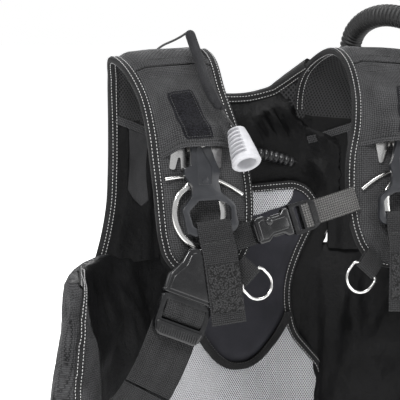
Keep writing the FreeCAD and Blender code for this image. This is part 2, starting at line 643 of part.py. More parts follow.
# ---------------------------------------------------------------- valves, sleeve, inflator
def make_dump():
    """Right shoulder dump: valve on the rear of the strap, cord in a sleeve, pull knob."""
    radius = size("valve_radius")
    normal = Vector(-0.4, 0.9, 0.14).normalize()
    centre = Vector(-119, -171, 245)
    flange = Part.makeCylinder(radius, 5, centre, normal)
    dome = Part.makeCone(radius - 3, radius - 10, 11, centre + normal * 5, normal)
    shape_part("dump_valve", flange.fuse(dome).removeSplitter())

    # the sleeve runs straight from its top to an elbow, then bends towards the knob
    mouth = Vector(-91, -338.5, 287.5)
    knob_tip = Vector(-75.3, -343, 265.3)
    pull = (knob_tip - mouth).normalize()
    slack = 13
    elbow = mouth - pull * slack
    top = Vector(-97.1, -262, 362)
    down = elbow - top
    curve = Part.BSplineCurve()
    curve.interpolate([top, top + down * 0.45, top + down * 0.85, elbow], InitialTangent=down, FinalTangent=pull)
    straight = Part.LineSegment(elbow, mouth).toShape()
    sleeve_wire = Part.Wire([curve.toShape(), straight])
    shape_part("dump_sleeve", tube_shape(sleeve_wire, size("sleeve_radius"), size("sleeve_bore")))

    cord_radius = size("cord_radius")
    route = [centre + normal * 8 + Vector(0, 0, 28), Vector(-117, -163, 300), Vector(-115, -182, 334),
             Vector(-112, -212, 346), Vector(-106, -238, 352), Vector(-100, -254, 358), top + Vector(0, 1, 0)]
    shape_part("dump_cord", tube_shape(eased_wire(route), cord_radius))
    tail_long = (knob_tip - mouth).Length + slack
    tail = Part.makeCylinder(cord_radius, tail_long, elbow, pull)

    axis = Vector(0.052, -0.635, -0.771).normalize()
    cone = Part.makeCone(size("knob_top"), size("knob_low"), size("knob_length"), knob_tip, axis)
    shape_part("dump_cord_tail", tail.cut(cone))
    hollow = Part.makeCone(size("knob_top") - 2, size("knob_low") - 2.2, size("knob_length") - 12,
                           knob_tip + axis * 12.1, axis)
    shape_part("dump_knob", cone.cut(hollow))


def make_rear_dump():
    """Rear dump valve at the foot of the air cell, with its pull cord and ball."""
    normal = Vector(-0.31, 0.95, 0).normalize()
    centre = Vector(-74.5, -123.5, -185)
    flange = Part.makeCylinder(24, 5, centre, normal)
    dome = Part.makeCone(20, 14, 9, centre + normal * 5, normal)
    shape_part("rear_dump_valve", flange.fuse(dome).removeSplitter())
    outlet = centre + normal * 10 + Vector(0, 0, -19)
    knob_radius = 8
    knob_centre = outlet + Vector(0, 0, -24 - knob_radius)
    shape_part("rear_dump_knob", Part.makeSphere(knob_radius, knob_centre))
    shape_part("rear_dump_cord", Part.makeCylinder(size("cord_radius"), 23.5, outlet, Vector(0, 0, -1)))


def make_inflator():
    """Elbow on the left shoulder's rear, corrugated hose over the shoulder, inflator at its foot."""
    radius = size("hose_radius")
    seat = Vector(120.6, -185.8, 290.6)
    rear = Vector(0.345, 0.87, 0.348).normalize()
    head = seat + rear * 27
    route = [head + Vector(0, 0, 15), head + Vector(0, 0, 48), Vector(133, -190, 372),
             Vector(145, -232, 381),
             Vector(166, -278, 368), Vector(188, -314, 336), Vector(206, -338, 292),
             Vector(220, -352, 244),
             Vector(230, -358, 196), Vector(230, -358, 150)]
    shape_part("inflator_hose", tube_shape(eased_wire(route), radius, radius - 3))
    post = Part.makeCylinder(15, 27, seat, rear)
    ball = Part.makeSphere(17, head)
    collar = Part.makeCylinder(15.5, 8, head + Vector(0, 0, 12), Vector(0, 0, 1))
    mouth = Part.makeCylinder(radius + 0.1, 20, head + Vector(0, 0, 14.9), Vector(0, 0, 1))
    shape_part("inflator_elbow", post.multiFuse([ball, collar]).cut(mouth).removeSplitter())

    foot = route[-1]
    body = Part.makeCylinder(15, 30, foot + Vector(0, 0, -30), Vector(0, 0, 1))
    block_low = Part.makeBox(30, 30, 62, foot + Vector(-15, -15, -92))
    nipple = Part.makeCylinder(4.5, 16, foot + Vector(0, 15, -74), Vector(0, 1, 0))
    pocket_top = Part.makeCylinder(size("button_radius") + 0.3, 13, foot + Vector(0, -16, -50),
                                   Vector(0, 1, 0))
    pocket_low = Part.makeCylinder(size("button_radius") + 0.3, 13, foot + Vector(0, 0, -93),
                                   Vector(0, 0, 1))
    shape_part("inflator_body", body.multiFuse([block_low, nipple]).cut(pocket_top).cut(pocket_low))
    place_top = Placement(foot + Vector(0, -7, -50), Rotation(Vector(1, 0, 0), 90))
    keep(rod("inflate_button_body", "sizes.button_radius", "13", place_top), "inflate_button")
    place_low = Placement(foot + Vector(0, 0, -98), Rotation())
    keep(rod("deflate_button_body", "sizes.button_radius", "13", place_low), "deflate_button")
    mouth = Part.makeBox(26, 12, 16, foot + Vector(15, -6, -86))
    lip = Part.makeBox(5, 20, 26, foot + Vector(41, -10, -91))
    shape_part("mouthpiece", mouth.fuse(lip).removeSplitter())


def make_weights(side):
    """A weight sleeve on the outside of a side lobe, open to the front, with its pull-out pocket."""
    name = SIDE_NAMES[side] + "_"
    wide = size("weight_width")
    long = size("weight_long")
    tall = size("weight_tall")
    wall = size("weight_wall")
    low = Vector()
    shell = Part.makeBox(wide, long, tall, low)
    room = Part.makeBox(wide - 2 * wall, long, tall - 2 * wall, low + Vector(wall, -wall, wall))
    sleeve = shell.cut(room)
    gap = 0.5
    bag = Part.makeBox(wide - 2 * wall - 2 * gap, long - wall - gap, tall - 2 * wall - 2 * gap,
                       low + Vector(wall + gap, -2, wall + gap))
    grip = Part.makeBox(12, 22, 60, low + Vector(wide / 2 - 6, -24, 30))
    hole = Part.makeBox(20, 12, 42, low + Vector(wide / 2 - 10, -18, 39))
    pocket = bag.fuse(grip.cut(hole)).removeSplitter()
    at = Placement(Vector(262, -333, -205), Rotation(Vector(0, 0, 1), size("weight_turn")))
    for label, shape in (("weight_sleeve", sleeve), ("weight_pocket", pocket)):
        shape.Placement = at
        if side == RIGHT:
            shape = shape.mirror(Vector(), Vector(1, 0, 0))
        shape_part(name + label, shape, shape.Placement)


# ---------------------------------------------------------------- assembly and output
make_backpack()
make_cam_buckle()
make_back()
make_handle()
for wearer_side in (RIGHT, LEFT):
    make_wing(wearer_side)
    make_strap(wearer_side)
    make_shoulder_hardware(wearer_side)
    make_shoulder_buckle(wearer_side)
    make_lower_strap(wearer_side)
    make_small_ring(wearer_side)
    make_weights(wearer_side)
make_chest()
make_waist()
make_dump()
make_rear_dump()
make_inflator()
for group, pieces in PAIRS.items():
    shape_part(group, Part.makeCompound(pieces))
doc.recompute()

faults = [item.Name for item in doc.Objects if {"Invalid", "Error"} & set(item.State)]
faults += [node.Label for node in NODES if node.Shape.isNull() or not node.Shape.isValid()]
if faults:
    raise RuntimeError("failed: " + ", ".join(faults))
for node in NODES:
    node.Shape.exportStep("parts/" + node.Label + ".step")
print(len(NODES), "sub-parts")
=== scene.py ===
"""Looks of the buoyancy compensator vest, built round its CAD frame.

Lengths in the helpers are millimetres, in the row frame: +Z up, chest at -Y, wearer's left at +X.
"""
import json
import math

import bmesh
import bpy
import numpy as np
from mathutils import Matrix, Vector, noise
from mathutils.bvhtree import BVHTree
from mathutils.geometry import delaunay_2d_cdt


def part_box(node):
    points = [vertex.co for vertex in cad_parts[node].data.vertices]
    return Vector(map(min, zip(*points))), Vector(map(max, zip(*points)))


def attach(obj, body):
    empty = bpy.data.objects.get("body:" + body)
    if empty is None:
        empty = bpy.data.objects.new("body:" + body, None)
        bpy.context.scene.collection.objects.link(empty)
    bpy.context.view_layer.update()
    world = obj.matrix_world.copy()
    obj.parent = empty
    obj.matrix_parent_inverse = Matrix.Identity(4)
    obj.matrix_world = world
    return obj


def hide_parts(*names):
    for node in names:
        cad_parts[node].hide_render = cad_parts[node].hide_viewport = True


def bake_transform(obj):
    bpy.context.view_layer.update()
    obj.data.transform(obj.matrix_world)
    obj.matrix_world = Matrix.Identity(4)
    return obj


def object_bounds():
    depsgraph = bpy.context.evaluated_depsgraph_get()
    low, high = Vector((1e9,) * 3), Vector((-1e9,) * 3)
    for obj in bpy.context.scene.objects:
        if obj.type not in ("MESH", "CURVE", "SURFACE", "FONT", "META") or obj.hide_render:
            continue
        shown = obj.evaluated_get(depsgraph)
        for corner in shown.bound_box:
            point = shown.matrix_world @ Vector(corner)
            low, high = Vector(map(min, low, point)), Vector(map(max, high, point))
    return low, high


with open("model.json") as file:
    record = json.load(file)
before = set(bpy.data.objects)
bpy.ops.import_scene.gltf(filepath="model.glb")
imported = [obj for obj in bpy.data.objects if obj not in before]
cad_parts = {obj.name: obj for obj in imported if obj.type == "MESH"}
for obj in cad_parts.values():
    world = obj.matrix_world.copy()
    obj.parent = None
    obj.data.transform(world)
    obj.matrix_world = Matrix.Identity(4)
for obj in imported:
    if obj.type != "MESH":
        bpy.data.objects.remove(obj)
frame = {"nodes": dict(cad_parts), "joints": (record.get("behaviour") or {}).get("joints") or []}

CAD_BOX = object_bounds()
MM = 0.001
RIGHT, LEFT = -1, 1
SIDE = {RIGHT: "right", LEFT: "left"}
JOINTS = {joint["name"]: joint for joint in frame["joints"]}


def vec(*values):
    return np.array(values, float)


def unit(values):
    values = np.asarray(values, float)
    return values / np.linalg.norm(values, axis=-1, keepdims=True)


# ---------------------------------------------------------------- camera, light and floor
VIEW_AZIMUTH = math.radians(-19)
VIEW_ELEVATION = math.radians(7)
CAMERA_DISTANCE = 1.5
CAMERA_SENSOR = 36
CAMERA_LENS = 135
LOOKED_AT = Vector((-0.110, -0.3345, 0.195))
COOL_WHITE = (0.97, 0.98, 1)
FLOOR_HALF = 30.0
FLOOR_GAP = 0.004


def add_light(name, place, target, size, power):
    """A soft square light that faces a point."""
    data = bpy.data.lights.new(name, "AREA")
    data.size = size
    data.energy = power
    light = bpy.data.objects.new(name, data)
    light.location = place
    light.rotation_euler = (Vector(target) - Vector(place)).to_track_quat("-Z", "Y").to_euler()
    bpy.context.scene.collection.objects.link(light)


def make_camera(scene):
    """The camera, at the viewing angle of the reference view."""
    back = Vector((math.sin(VIEW_AZIMUTH) * math.cos(VIEW_ELEVATION),
                   -math.cos(VIEW_AZIMUTH) * math.cos(VIEW_ELEVATION), math.sin(VIEW_ELEVATION)))
    camera_data = bpy.data.cameras.new("camera")
    camera_data.sensor_width = CAMERA_SENSOR
    camera_data.lens = CAMERA_LENS
    camera_data.clip_start = 0.1
    camera_data.clip_end = 100
    camera = bpy.data.objects.new("camera", camera_data)
    camera.location = LOOKED_AT + back * CAMERA_DISTANCE
    camera.rotation_euler = (-back).to_track_quat("-Z", "Y").to_euler()
    scene.collection.objects.link(camera)
    scene.camera = camera
    scene.view_settings.view_transform = "Standard"


def make_world(scene):
    """White behind the vest, and a dim soft light that shiny surfaces see a little brighter."""
    world = bpy.data.worlds.new("studio")
    world.use_nodes = True
    nodes, links = world.node_tree.nodes, world.node_tree.links
    nodes.clear()
    path = nodes.new("ShaderNodeLightPath")

    def background(colour, strength):
        node = nodes.new("ShaderNodeBackground")
        node.inputs["Color"].default_value = (*colour, 1)
        node.inputs["Strength"].default_value = strength
        return node

    seen = background((1, 1, 1), 1.0)
    soft = background(COOL_WHITE, 0.2)
    shine = background(COOL_WHITE, 0.5)
    lit = nodes.new("ShaderNodeMixShader")
    mix = nodes.new("ShaderNodeMixShader")
    out = nodes.new("ShaderNodeOutputWorld")
    links.new(path.outputs["Is Glossy Ray"], lit.inputs["Fac"])
    links.new(soft.outputs[0], lit.inputs[1])
    links.new(shine.outputs[0], lit.inputs[2])
    links.new(path.outputs["Is Camera Ray"], mix.inputs["Fac"])
    links.new(lit.outputs[0], mix.inputs[1])
    links.new(seen.outputs[0], mix.inputs[2])
    links.new(mix.outputs[0], out.inputs["Surface"])
    scene.world = world


def make_studio():
    """Camera, world, four soft lights and a white floor just under the vest."""
    scene = bpy.context.scene
    make_camera(scene)
    make_world(scene)
    add_light("key", (-1.5, -2.2, 2.3), (-0.1, -0.25, 0.15), 0.8, 78)
    add_light("fill", (1.9, -2.0, 0.9), (0, -0.25, 0.1), 1.0, 16)
    add_light("top", (0.2, -0.4, 2.4), (0, -0.2, 0.2), 1.2, 26)
    add_light("rear", (0.6, 2.4, 1.5), (0, 0, 0), 1.5, 34)

    floor_z = CAD_BOX[0].z - FLOOR_GAP
    data = bpy.data.meshes.new("floor")
    corners = [(x * FLOOR_HALF, y * FLOOR_HALF, floor_z) for x, y in ((-1, -1), (1, -1), (1, 1), (-1, 1))]
    data.from_pydata(corners, [], [(0, 1, 2, 3)])
    floor = bpy.data.objects.new("floor", data)
    scene.collection.objects.link(floor)
    shader = Shader("floor_paper")
    shade = shader.noise(6.0, 3, "Object")
    shader.surface(shader.mix(shade, (0.93, 0.93, 0.93), (0.97, 0.97, 0.97)), rough=0.9,
                   Emission_Color=(1, 1, 1, 1), Emission_Strength=0.8)
    data.materials.append(shader.material)


# ---------------------------------------------------------------- materials
class Shader:
    """One procedural material: small helpers that add and link its nodes."""

    def __init__(self, name):
        self.material = bpy.data.materials.new(name)
        self.material.use_nodes = True
        self.tree = self.material.node_tree
        self.tree.nodes.clear()
        self.coordinates = {}

    def add(self, kind, values=(), **settings):
        node = self.tree.nodes.new(kind)
        for key, value in settings.items():
            setattr(node, key, value)
        for key, value in dict(values).items():
            socket = node.inputs[key]
            if isinstance(value, bpy.types.NodeSocket):
                self.tree.links.new(value, socket)
            elif isinstance(value, tuple) and socket.type == "RGBA":
                socket.default_value = (*value, 1)
            else:
                socket.default_value = value
        return node

    def place(self, source):
        """Millimetre coordinates: "cloth" along the cut cloth, or "Object" in the row frame."""
        if source not in self.coordinates:
            if source == "cloth":
                socket = self.add("ShaderNodeAttribute", attribute_name="cloth").outputs["Vector"]
            else:
                socket = self.add("ShaderNodeTexCoord").outputs["Object"]
            scaled = self.add("ShaderNodeVectorMath", {0: socket, 1: (1000, 1000, 1000)},
                              operation="MULTIPLY")
            self.coordinates[source] = scaled.outputs[0]
        return self.coordinates[source]

    def axes(self, source):
        """Two directions on the surface and a third: of the cloth, or round the vest, up and ahead."""
        parts = self.add("ShaderNodeSeparateXYZ", {0: self.place(source)})
        x, y, z = parts.outputs[0], parts.outputs[1], parts.outputs[2]
        if source == "cloth":
            return x, y, z
        around = self.math("MULTIPLY", self.math("SUBTRACT", self.math("ABSOLUTE", x), y), 0.75)
        return around, z, y

    def math(self, operation, first, second=0.0, third=0.0):
        node = self.add("ShaderNodeMath", {0: first, 1: second, 2: third}, operation=operation)
        return node.outputs[0]

    def noise(self, scale_mm, detail=2, source="cloth", rough=0.5):
        values = {"Vector": self.place(source), "Scale": 1 / scale_mm, "Detail": detail, "Roughness": rough}
        return self.add("ShaderNodeTexNoise", values).outputs["Fac"]

    def ramp(self, value, low, high):
        node = self.add("ShaderNodeMapRange", {"Value": value, "From Min": low, "From Max": high})
        return node.outputs["Result"]

    def mix(self, factor, first, second):
        node = self.add("ShaderNodeMix", data_type="RGBA")
        for index, value in ((0, factor), (6, first), (7, second)):
            if isinstance(value, bpy.types.NodeSocket):
                self.tree.links.new(value, node.inputs[index])
            elif isinstance(value, tuple):
                node.inputs[index].default_value = (*value, 1)
            else:
                node.inputs[index].default_value = value
        return node.outputs[2]

    def wave(self, value, pitch):
        """0 to 1 and back, once every pitch."""
        turned = self.math("MULTIPLY", value, math.pi / pitch)
        return self.math("ABSOLUTE", self.math("SINE", turned))

    def weave(self, pitch, source="cloth"):
        """Plain weave: threads over and under one another, as a height from 0 to 1."""
        x, y, _ = self.axes(source)
        across = self.math("SINE", self.math("MULTIPLY", x, math.pi / pitch))
        along = self.math("SINE", self.math("MULTIPLY", y, math.pi / pitch))
        over = self.math("GREATER_THAN", self.math("MULTIPLY", across, along), 0.0)
        first = self.math("MULTIPLY", self.math("ABSOLUTE", across), over)
        under = self.math("SUBTRACT", 1.0, over)
        second = self.math("MULTIPLY", self.math("ABSOLUTE", along), under)
        return self.math("ADD", first, second)

    def holes(self, pitch, source="cloth"):
        """Net: 1 on the strands, 0 in the holes, in offset rows."""
        x, y, _ = self.axes(source)
        slant = self.wave(self.math("ADD", x, self.math("MULTIPLY", y, 0.6)), pitch)
        counter = self.wave(self.math("SUBTRACT", x, self.math("MULTIPLY", y, 0.6)), pitch)
        return self.math("SUBTRACT", 1.0, self.math("MULTIPLY", slant, counter))

    def surface(self, colour, rough=0.6, height=None, depth_mm=0.2, **constants):
        values = {"Base Color": colour, "Roughness": rough}
        if height is not None:
            bump = self.add("ShaderNodeBump", {"Strength": 1.0, "Distance": depth_mm * MM, "Height": height})
            values["Normal"] = bump.outputs[0]
        node = self.add("ShaderNodeBsdfPrincipled", values)
        for key, value in constants.items():
            node.inputs[key.replace("_", " ")].default_value = value
        self.add("ShaderNodeOutputMaterial", {0: node.outputs[0]})


def cloth_material(name, dark, light, pitch, source="cloth", rough=0.75, depth=0.3, worn=0.35, sheen=0.06):
    """Woven cloth: weave in its colour and height, with broad wear."""
    shader = Shader(name)
    weave = shader.weave(pitch, source)
    patches = shader.ramp(shader.noise(28, 4, source), 0.35, 0.7)
    grain = shader.noise(1.1, 3, source, 0.7)
    shade = shader.math("MULTIPLY_ADD", weave, 0.8, shader.math("MULTIPLY", patches, worn))
    shade = shader.math("ADD", shade, shader.math("MULTIPLY_ADD", grain, 1.1, -0.75))
    height = shader.math("MULTIPLY_ADD", grain, 0.5, weave)
    shader.surface(shader.mix(shade, dark, light), shader.math("MULTIPLY_ADD", patches, -0.1, rough),
                   height, depth,
                   Sheen_Weight=sheen, Sheen_Roughness=0.4, Specular_IOR_Level=0.14)
    return shader.material


def satin_material(name, dark, light, source="Object"):
    """Coated nylon: a fine close weave under a satin shine, with small creases."""
    shader = Shader(name)
    weave = shader.weave(0.8, source)
    creases = shader.noise(26, 5, source, 0.55)
    patches = shader.ramp(shader.noise(45, 2, source), 0.3, 0.7)
    shade = shader.math("MULTIPLY_ADD", weave, 0.3, shader.math("MULTIPLY", patches, 0.6))
    height = shader.math("MULTIPLY_ADD", creases, 14.0, shader.math("MULTIPLY", weave, 0.25))
    shader.surface(shader.mix(shade, dark, light), shader.math("MULTIPLY_ADD", patches, 0.12, 0.42), height,
                   0.3,
                   Sheen_Weight=0.0, Sheen_Roughness=0.35, Specular_IOR_Level=0.16)
    return shader.material


def net_material(name, hole, strand, pitch, source="cloth", rough=0.8, sheen=0.2):
    """Spacer mesh: small holes in offset rows in a knitted face."""
    shader = Shader(name)
    net = shader.holes(pitch, source)
    open_part = shader.ramp(net, 0.25, 0.6)
    drift = shader.noise(30, 3, source)
    lit = shader.mix(drift, strand, tuple(value * 1.25 for value in strand))
    height = shader.math("MULTIPLY_ADD", shader.noise(0.8, 2, source), 0.3, open_part)
    shader.surface(shader.mix(open_part, hole, lit), rough, height, 0.4, Sheen_Weight=sheen,
                   Sheen_Roughness=0.5,
                   Specular_IOR_Level=0.3)
    return shader.material


def foam_material(name, dark, light, source="Object"):
    """Smooth laminated foam with a very fine knit."""
    shader = Shader(name)
    grain = shader.noise(0.9, 3, source, 0.7)
    drift = shader.ramp(shader.noise(35, 3, source), 0.3, 0.7)
    shade = shader.math("MULTIPLY_ADD", grain, 0.6, shader.math("MULTIPLY", drift, 0.4))
    shader.surface(shader.mix(shade, dark, light), 0.78, grain, 0.18, Sheen_Weight=0.08, Sheen_Roughness=0.5,
                   Specular_IOR_Level=0.25)
    return shader.material


def fuzz_material(name, dark, light, size_mm, depth):
    """Hook and loop tape: a close pile of small loops."""
    shader = Shader(name)
    cells = shader.add("ShaderNodeTexVoronoi", {"Vector": shader.place("cloth"), "Scale": 1 / size_mm})
    pile = shader.math("SUBTRACT", 1.0, cells.outputs["Distance"])
    grain = shader.noise(size_mm * 0.7, 4, "cloth", 0.8)
    shade = shader.ramp(shader.math("MULTIPLY", pile, grain), 0.15, 0.55)
    shader.surface(shader.mix(shade, dark, light), 0.9, shader.math("ADD", pile, grain), depth,
                   Sheen_Weight=0.04,
                   Sheen_Roughness=0.6, Specular_IOR_Level=0.15)
    return shader.material


def plastic_material(name, colour, rough, grain_mm=0.6, depth=0.03, coat=0.0):
    """Moulded plastic: spark grain, flow marks and rubbed patches."""
    shader = Shader(name)
    grain = shader.noise(grain_mm, 3, "Object", 0.6)
    rubbed = shader.ramp(shader.noise(14, 5, "Object", 0.65), 0.45, 0.75)
    lit = tuple(min(1.0, value * 1.5 + 0.006) for value in colour)
    shader.surface(shader.mix(shader.math("MULTIPLY", rubbed, 0.6), colour, lit),
                   shader.math("MULTIPLY_ADD", rubbed, 0.14, rough), grain, depth,
                   Coat_Weight=coat, Coat_Roughness=0.12, Specular_IOR_Level=0.5)
    return shader.material


def steel_material():
    """Polished stainless steel with fine drawing lines and a few dull spots."""
    shader = Shader("stainless")
    lines = shader.noise(0.9, 4, "Object", 0.7)
    dull = shader.ramp(shader.noise(9, 4, "Object"), 0.5, 0.75)
    shader.surface(shader.mix(dull, (0.83, 0.82, 0.80), (0.66, 0.65, 0.63)),
                   shader.math("MULTIPLY_ADD", dull, 0.14, 0.17), lines, 0.012, Metallic=1.0)
    return shader.material


def braid_material(name, dark, light, pitch):
    """Braided cord or thread: two crossing sets of strands."""
    shader = Shader(name)
    x, y, z = shader.axes("Object")
    first = shader.wave(shader.math("ADD", shader.math("ADD", x, y), z), pitch)
    second = shader.wave(shader.math("SUBTRACT", shader.math("SUBTRACT", z, x), y), pitch)
    braid = shader.math("MULTIPLY", first, second)
    shader.surface(shader.mix(braid, dark, light), 0.7, braid, 0.15, Sheen_Weight=0.3)
    return shader.material


make_studio()
CORDURA = cloth_material("cordura", (0.004, 0.004, 0.0043), (0.10, 0.10, 0.103), 2.2, rough=0.72, depth=0.5,
                         worn=0.25)
CORDURA_SOLID = cloth_material("cordura_outer", (0.004, 0.004, 0.0043), (0.08, 0.08, 0.083), 2.2, "Object",
                               depth=0.45)
BINDING = cloth_material("edge_binding", (0.002, 0.002, 0.002), (0.035, 0.035, 0.036), 1.6, rough=0.7,
                         depth=0.35)
WEBBING = cloth_material("webbing", (0.003, 0.003, 0.003), (0.060, 0.060, 0.062), 2.0, rough=0.55,
                         depth=0.5, worn=0.15)
GREY_WEBBING = cloth_material("grey_webbing", (0.008, 0.008, 0.008), (0.24, 0.235, 0.23), 2.4, rough=0.65,
                              depth=0.4, worn=0.1)
SATIN = satin_material("satin_nylon", (0.0015, 0.0015, 0.0016), (0.0075, 0.0075, 0.008))
# lighter copy of the black satin for the strap's rear panel: its grey is painted light, not a grey cloth
SATIN_PAINTED_LIGHT = satin_material("grey_satin", (0.022, 0.022, 0.023), (0.05, 0.05, 0.052))
LIGHT_MESH = net_material("light_mesh", (0.05, 0.05, 0.053), (0.56, 0.56, 0.58), 2.6)
AIR_MESH = net_material("air_mesh", (0.001, 0.001, 0.001), (0.028, 0.028, 0.029), 3.6, sheen=0.0)
SLATE_FOAM = foam_material("slate_foam", (0.006, 0.006, 0.008), (0.035, 0.035, 0.044))
LOOP = fuzz_material("loop_tape", (0.002, 0.002, 0.003), (0.022, 0.022, 0.028), 1.3, 0.6)
HOOK = fuzz_material("hook_tape", (0.008, 0.008, 0.008), (0.075, 0.075, 0.077), 1.5, 0.6)
SLATE_PLASTIC = plastic_material("slate_plastic", (0.018, 0.019, 0.022), 0.34)
GLOSS_PLASTIC = plastic_material("gloss_plastic", (0.006, 0.006, 0.0065), 0.2, 1.2, 0.01, coat=0.3)
BLACK_PLASTIC = plastic_material("black_plastic", (0.008, 0.008, 0.009), 0.38)
KNOB_PLASTIC = plastic_material("knob_plastic", (0.50, 0.50, 0.52), 0.5, 0.8, 0.05)
RUBBER = plastic_material("rubber", (0.011, 0.011, 0.011), 0.55, 0.9, 0.05)
GRIP_RUBBER = plastic_material("grip_rubber", (0.013, 0.013, 0.014), 0.28, 0.9, 0.02)
SLEEVE_CLOTH = cloth_material("sleeve_cloth", (0.010, 0.010, 0.011), (0.035, 0.035, 0.038), 0.9, "Object",
                              0.6, 0.15)
STEEL = steel_material()
CORD = braid_material("braided_cord", (0.01, 0.01, 0.01), (0.05, 0.05, 0.05), 1.2)
WHITE_THREAD = braid_material("white_thread", (0.55, 0.55, 0.55), (0.85, 0.85, 0.85), 0.5)
BLACK_THREAD = braid_material("black_thread", (0.004, 0.004, 0.004), (0.02, 0.02, 0.02), 0.5)


# ---------------------------------------------------------------- shapes: (points, faces)
def loft(sections, loop=False):
    """Faces over closed rows of points; `loop` joins the last row to the first, instead of end caps."""
    sections = np.asarray(sections, float)
    rows, columns = sections.shape[:2]
    faces = []
    for row in range(rows if loop else rows - 1):
        for column in range(columns):
            after = (column + 1) % columns
            below = (row + 1) % rows
            faces.append((row * columns + column, row * columns + after, below * columns + after,
                          below * columns + column))
    if not loop:
        faces.append(tuple(range(columns))[::-1])
        faces.append(tuple((rows - 1) * columns + column for column in range(columns)))
    return sections.reshape(-1, 3), faces


def combine(shapes):
    """Several (points, faces) as one."""
    points, faces = [], []
    start = 0
    for shape in shapes:
        points.append(np.asarray(shape[0], float))
        faces += [tuple(start + index for index in face) for face in shape[1]]
        start += len(shape[0])
    return np.vstack(points), faces


def moved(shape, matrix):
    """The shape, placed by a 4 x 4 matrix."""
    points = np.asarray(shape[0], float)
    points = points @ matrix[:3, :3].T + matrix[:3, 3]
    return (points, *shape[1:])


def smooth(points, count, closed=False):
    """`count` points evenly along a smooth curve through the points; columns past three ride along."""
    points = np.asarray(points, float)
    if closed:
        points = np.vstack([points[-3:], points, points[:3]])
    gaps = np.linalg.norm(np.diff(points[:, :3], axis=0), axis=1)
    knots = np.concatenate([[0], np.cumsum(gaps)])
    slopes = np.gradient(points, knots, axis=0)
    dense = np.linspace(knots[0], knots[-1], max(count * 6, 200))
    index = np.clip(np.searchsorted(knots, dense, "right") - 1, 0, len(knots) - 2)
    width = (knots[index + 1] - knots[index])[:, None]
    part = ((dense - knots[index]) / width[:, 0])[:, None]
    curve = ((2 * part ** 3 - 3 * part ** 2 + 1) * points[index]
             + (part ** 3 - 2 * part ** 2 + part) * width * slopes[index]
             + (-2 * part ** 3 + 3 * part ** 2) * points[index + 1]
             + (part ** 3 - part ** 2) * width * slopes[index + 1])
    low, high = (knots[3], knots[-3]) if closed else (knots[0], knots[-1])
    inside = (dense >= low - 1e-9) & (dense <= high + 1e-9)
    curve = curve[inside]
    run = run_length(curve)
    wanted = np.linspace(0, run[-1], count + 1)[:-1] if closed else np.linspace(0, run[-1], count)
    return sampled(curve, run, wanted)


def run_length(path):
    """Distance along a path, at each of its points."""
    return np.concatenate([[0], np.cumsum(np.linalg.norm(np.diff(path[:, :3], axis=0), axis=1))])


def sampled(path, run, at):
    """The path's points at the distances `at` along it."""
    return np.stack([np.interp(at, run, path[:, column]) for column in range(path.shape[1])], 1)


def tangents(path, closed=False):
    """Unit direction of a path, at each of its points."""
    if closed:
        return unit(np.roll(path, -1, 0) - np.roll(path, 1, 0))
    return unit(np.gradient(path, axis=0))


def rounded(points, radius, steps=4):
    """A closed outline with its corners rounded; a point's own third value is its radius."""
    out = []
    for index, point in enumerate(points):
        corner = vec(*point[:2])
        back = vec(*points[index - 1][:2]) - corner
        ahead = vec(*points[(index + 1) % len(points)][:2]) - corner
        own = point[2] if len(point) > 2 else radius
        half = math.acos(np.clip(np.dot(unit(back), unit(ahead)), -1, 1)) / 2
        if half > 1.5:
            out.append(corner)
            continue
        reach = min(own / math.tan(half), 0.45 * np.linalg.norm(back), 0.45 * np.linalg.norm(ahead))
        bulge = reach * math.tan(half)
        way = unit(unit(back) + unit(ahead))
        centre = corner + way * math.hypot(reach, bulge)
        start = corner + unit(back) * reach - centre
        end = corner + unit(ahead) * reach - centre
        turn = math.atan2(start[0] * end[1] - start[1] * end[0], start @ end)
        for step in range(steps + 1):
            angle = turn * step / steps
            out.append(centre + vec(start[0] * math.cos(angle) - start[1] * math.sin(angle),
                                    start[0] * math.sin(angle) + start[1] * math.cos(angle)))
    return np.array(out)


def plate(outlines, low, high, bevel, segments=2):
    """A flat piece with any holes, its edges bevelled, between two heights."""
    curve = bpy.data.curves.new("plate", "CURVE")
    curve.dimensions = "2D"
    curve.fill_mode = "BOTH"
    curve.extrude = (high - low) / 2 * MM
    for outline in outlines:
        spline = curve.splines.new("POLY")
        spline.points.add(len(outline) - 1)
        for point, (x, y) in zip(spline.points, outline):
            point.co = (x * MM, y * MM, 0, 1)
        spline.use_cyclic_u = True
    holder = bpy.data.objects.new("plate", curve)
    bpy.context.scene.collection.objects.link(holder)
    graph = bpy.context.evaluated_depsgraph_get()
    mesh = bpy.data.meshes.new_from_object(holder.evaluated_get(graph))
    bpy.data.objects.remove(holder)
    bpy.data.curves.remove(curve)
    work = bmesh.new()
    work.from_mesh(mesh)
    bmesh.ops.remove_doubles(work, verts=work.verts, dist=1e-6)
    bmesh.ops.dissolve_limit(work, angle_limit=0.01, verts=work.verts, edges=work.edges)
    work.to_mesh(mesh)
    work.free()
    solid = bpy.data.objects.new("plate", mesh)
    bpy.context.scene.collection.objects.link(solid)
    if bevel:
        modifier = solid.modifiers.new("bevel", "BEVEL")
        modifier.width = bevel * MM
        modifier.segments = segments
        modifier.limit_method = "ANGLE"
        modifier.angle_limit = math.radians(50)
    graph = bpy.context.evaluated_depsgraph_get()
    final = bpy.data.meshes.new_from_object(solid.evaluated_get(graph))
    shape = mesh_shape(final)
    bpy.data.objects.remove(solid)
    bpy.data.meshes.remove(mesh)
    bpy.data.meshes.remove(final)
    shape[0][:, 2] += (low + high) / 2
    return shape


def circle(side, other, segments):
    """Unit directions round a circle, from `side` towards `other`."""
    angles = np.arange(segments) * 2 * math.pi / segments
    return np.cos(angles)[:, None] * side + np.sin(angles)[:, None] * other


def mesh_shape(mesh):
    """A mesh's points, in millimetres, and its faces."""
    points = np.zeros(len(mesh.vertices) * 3)
    mesh.vertices.foreach_get("co", points)
    return points.reshape(-1, 3) / MM, [tuple(face.vertices) for face in mesh.polygons]


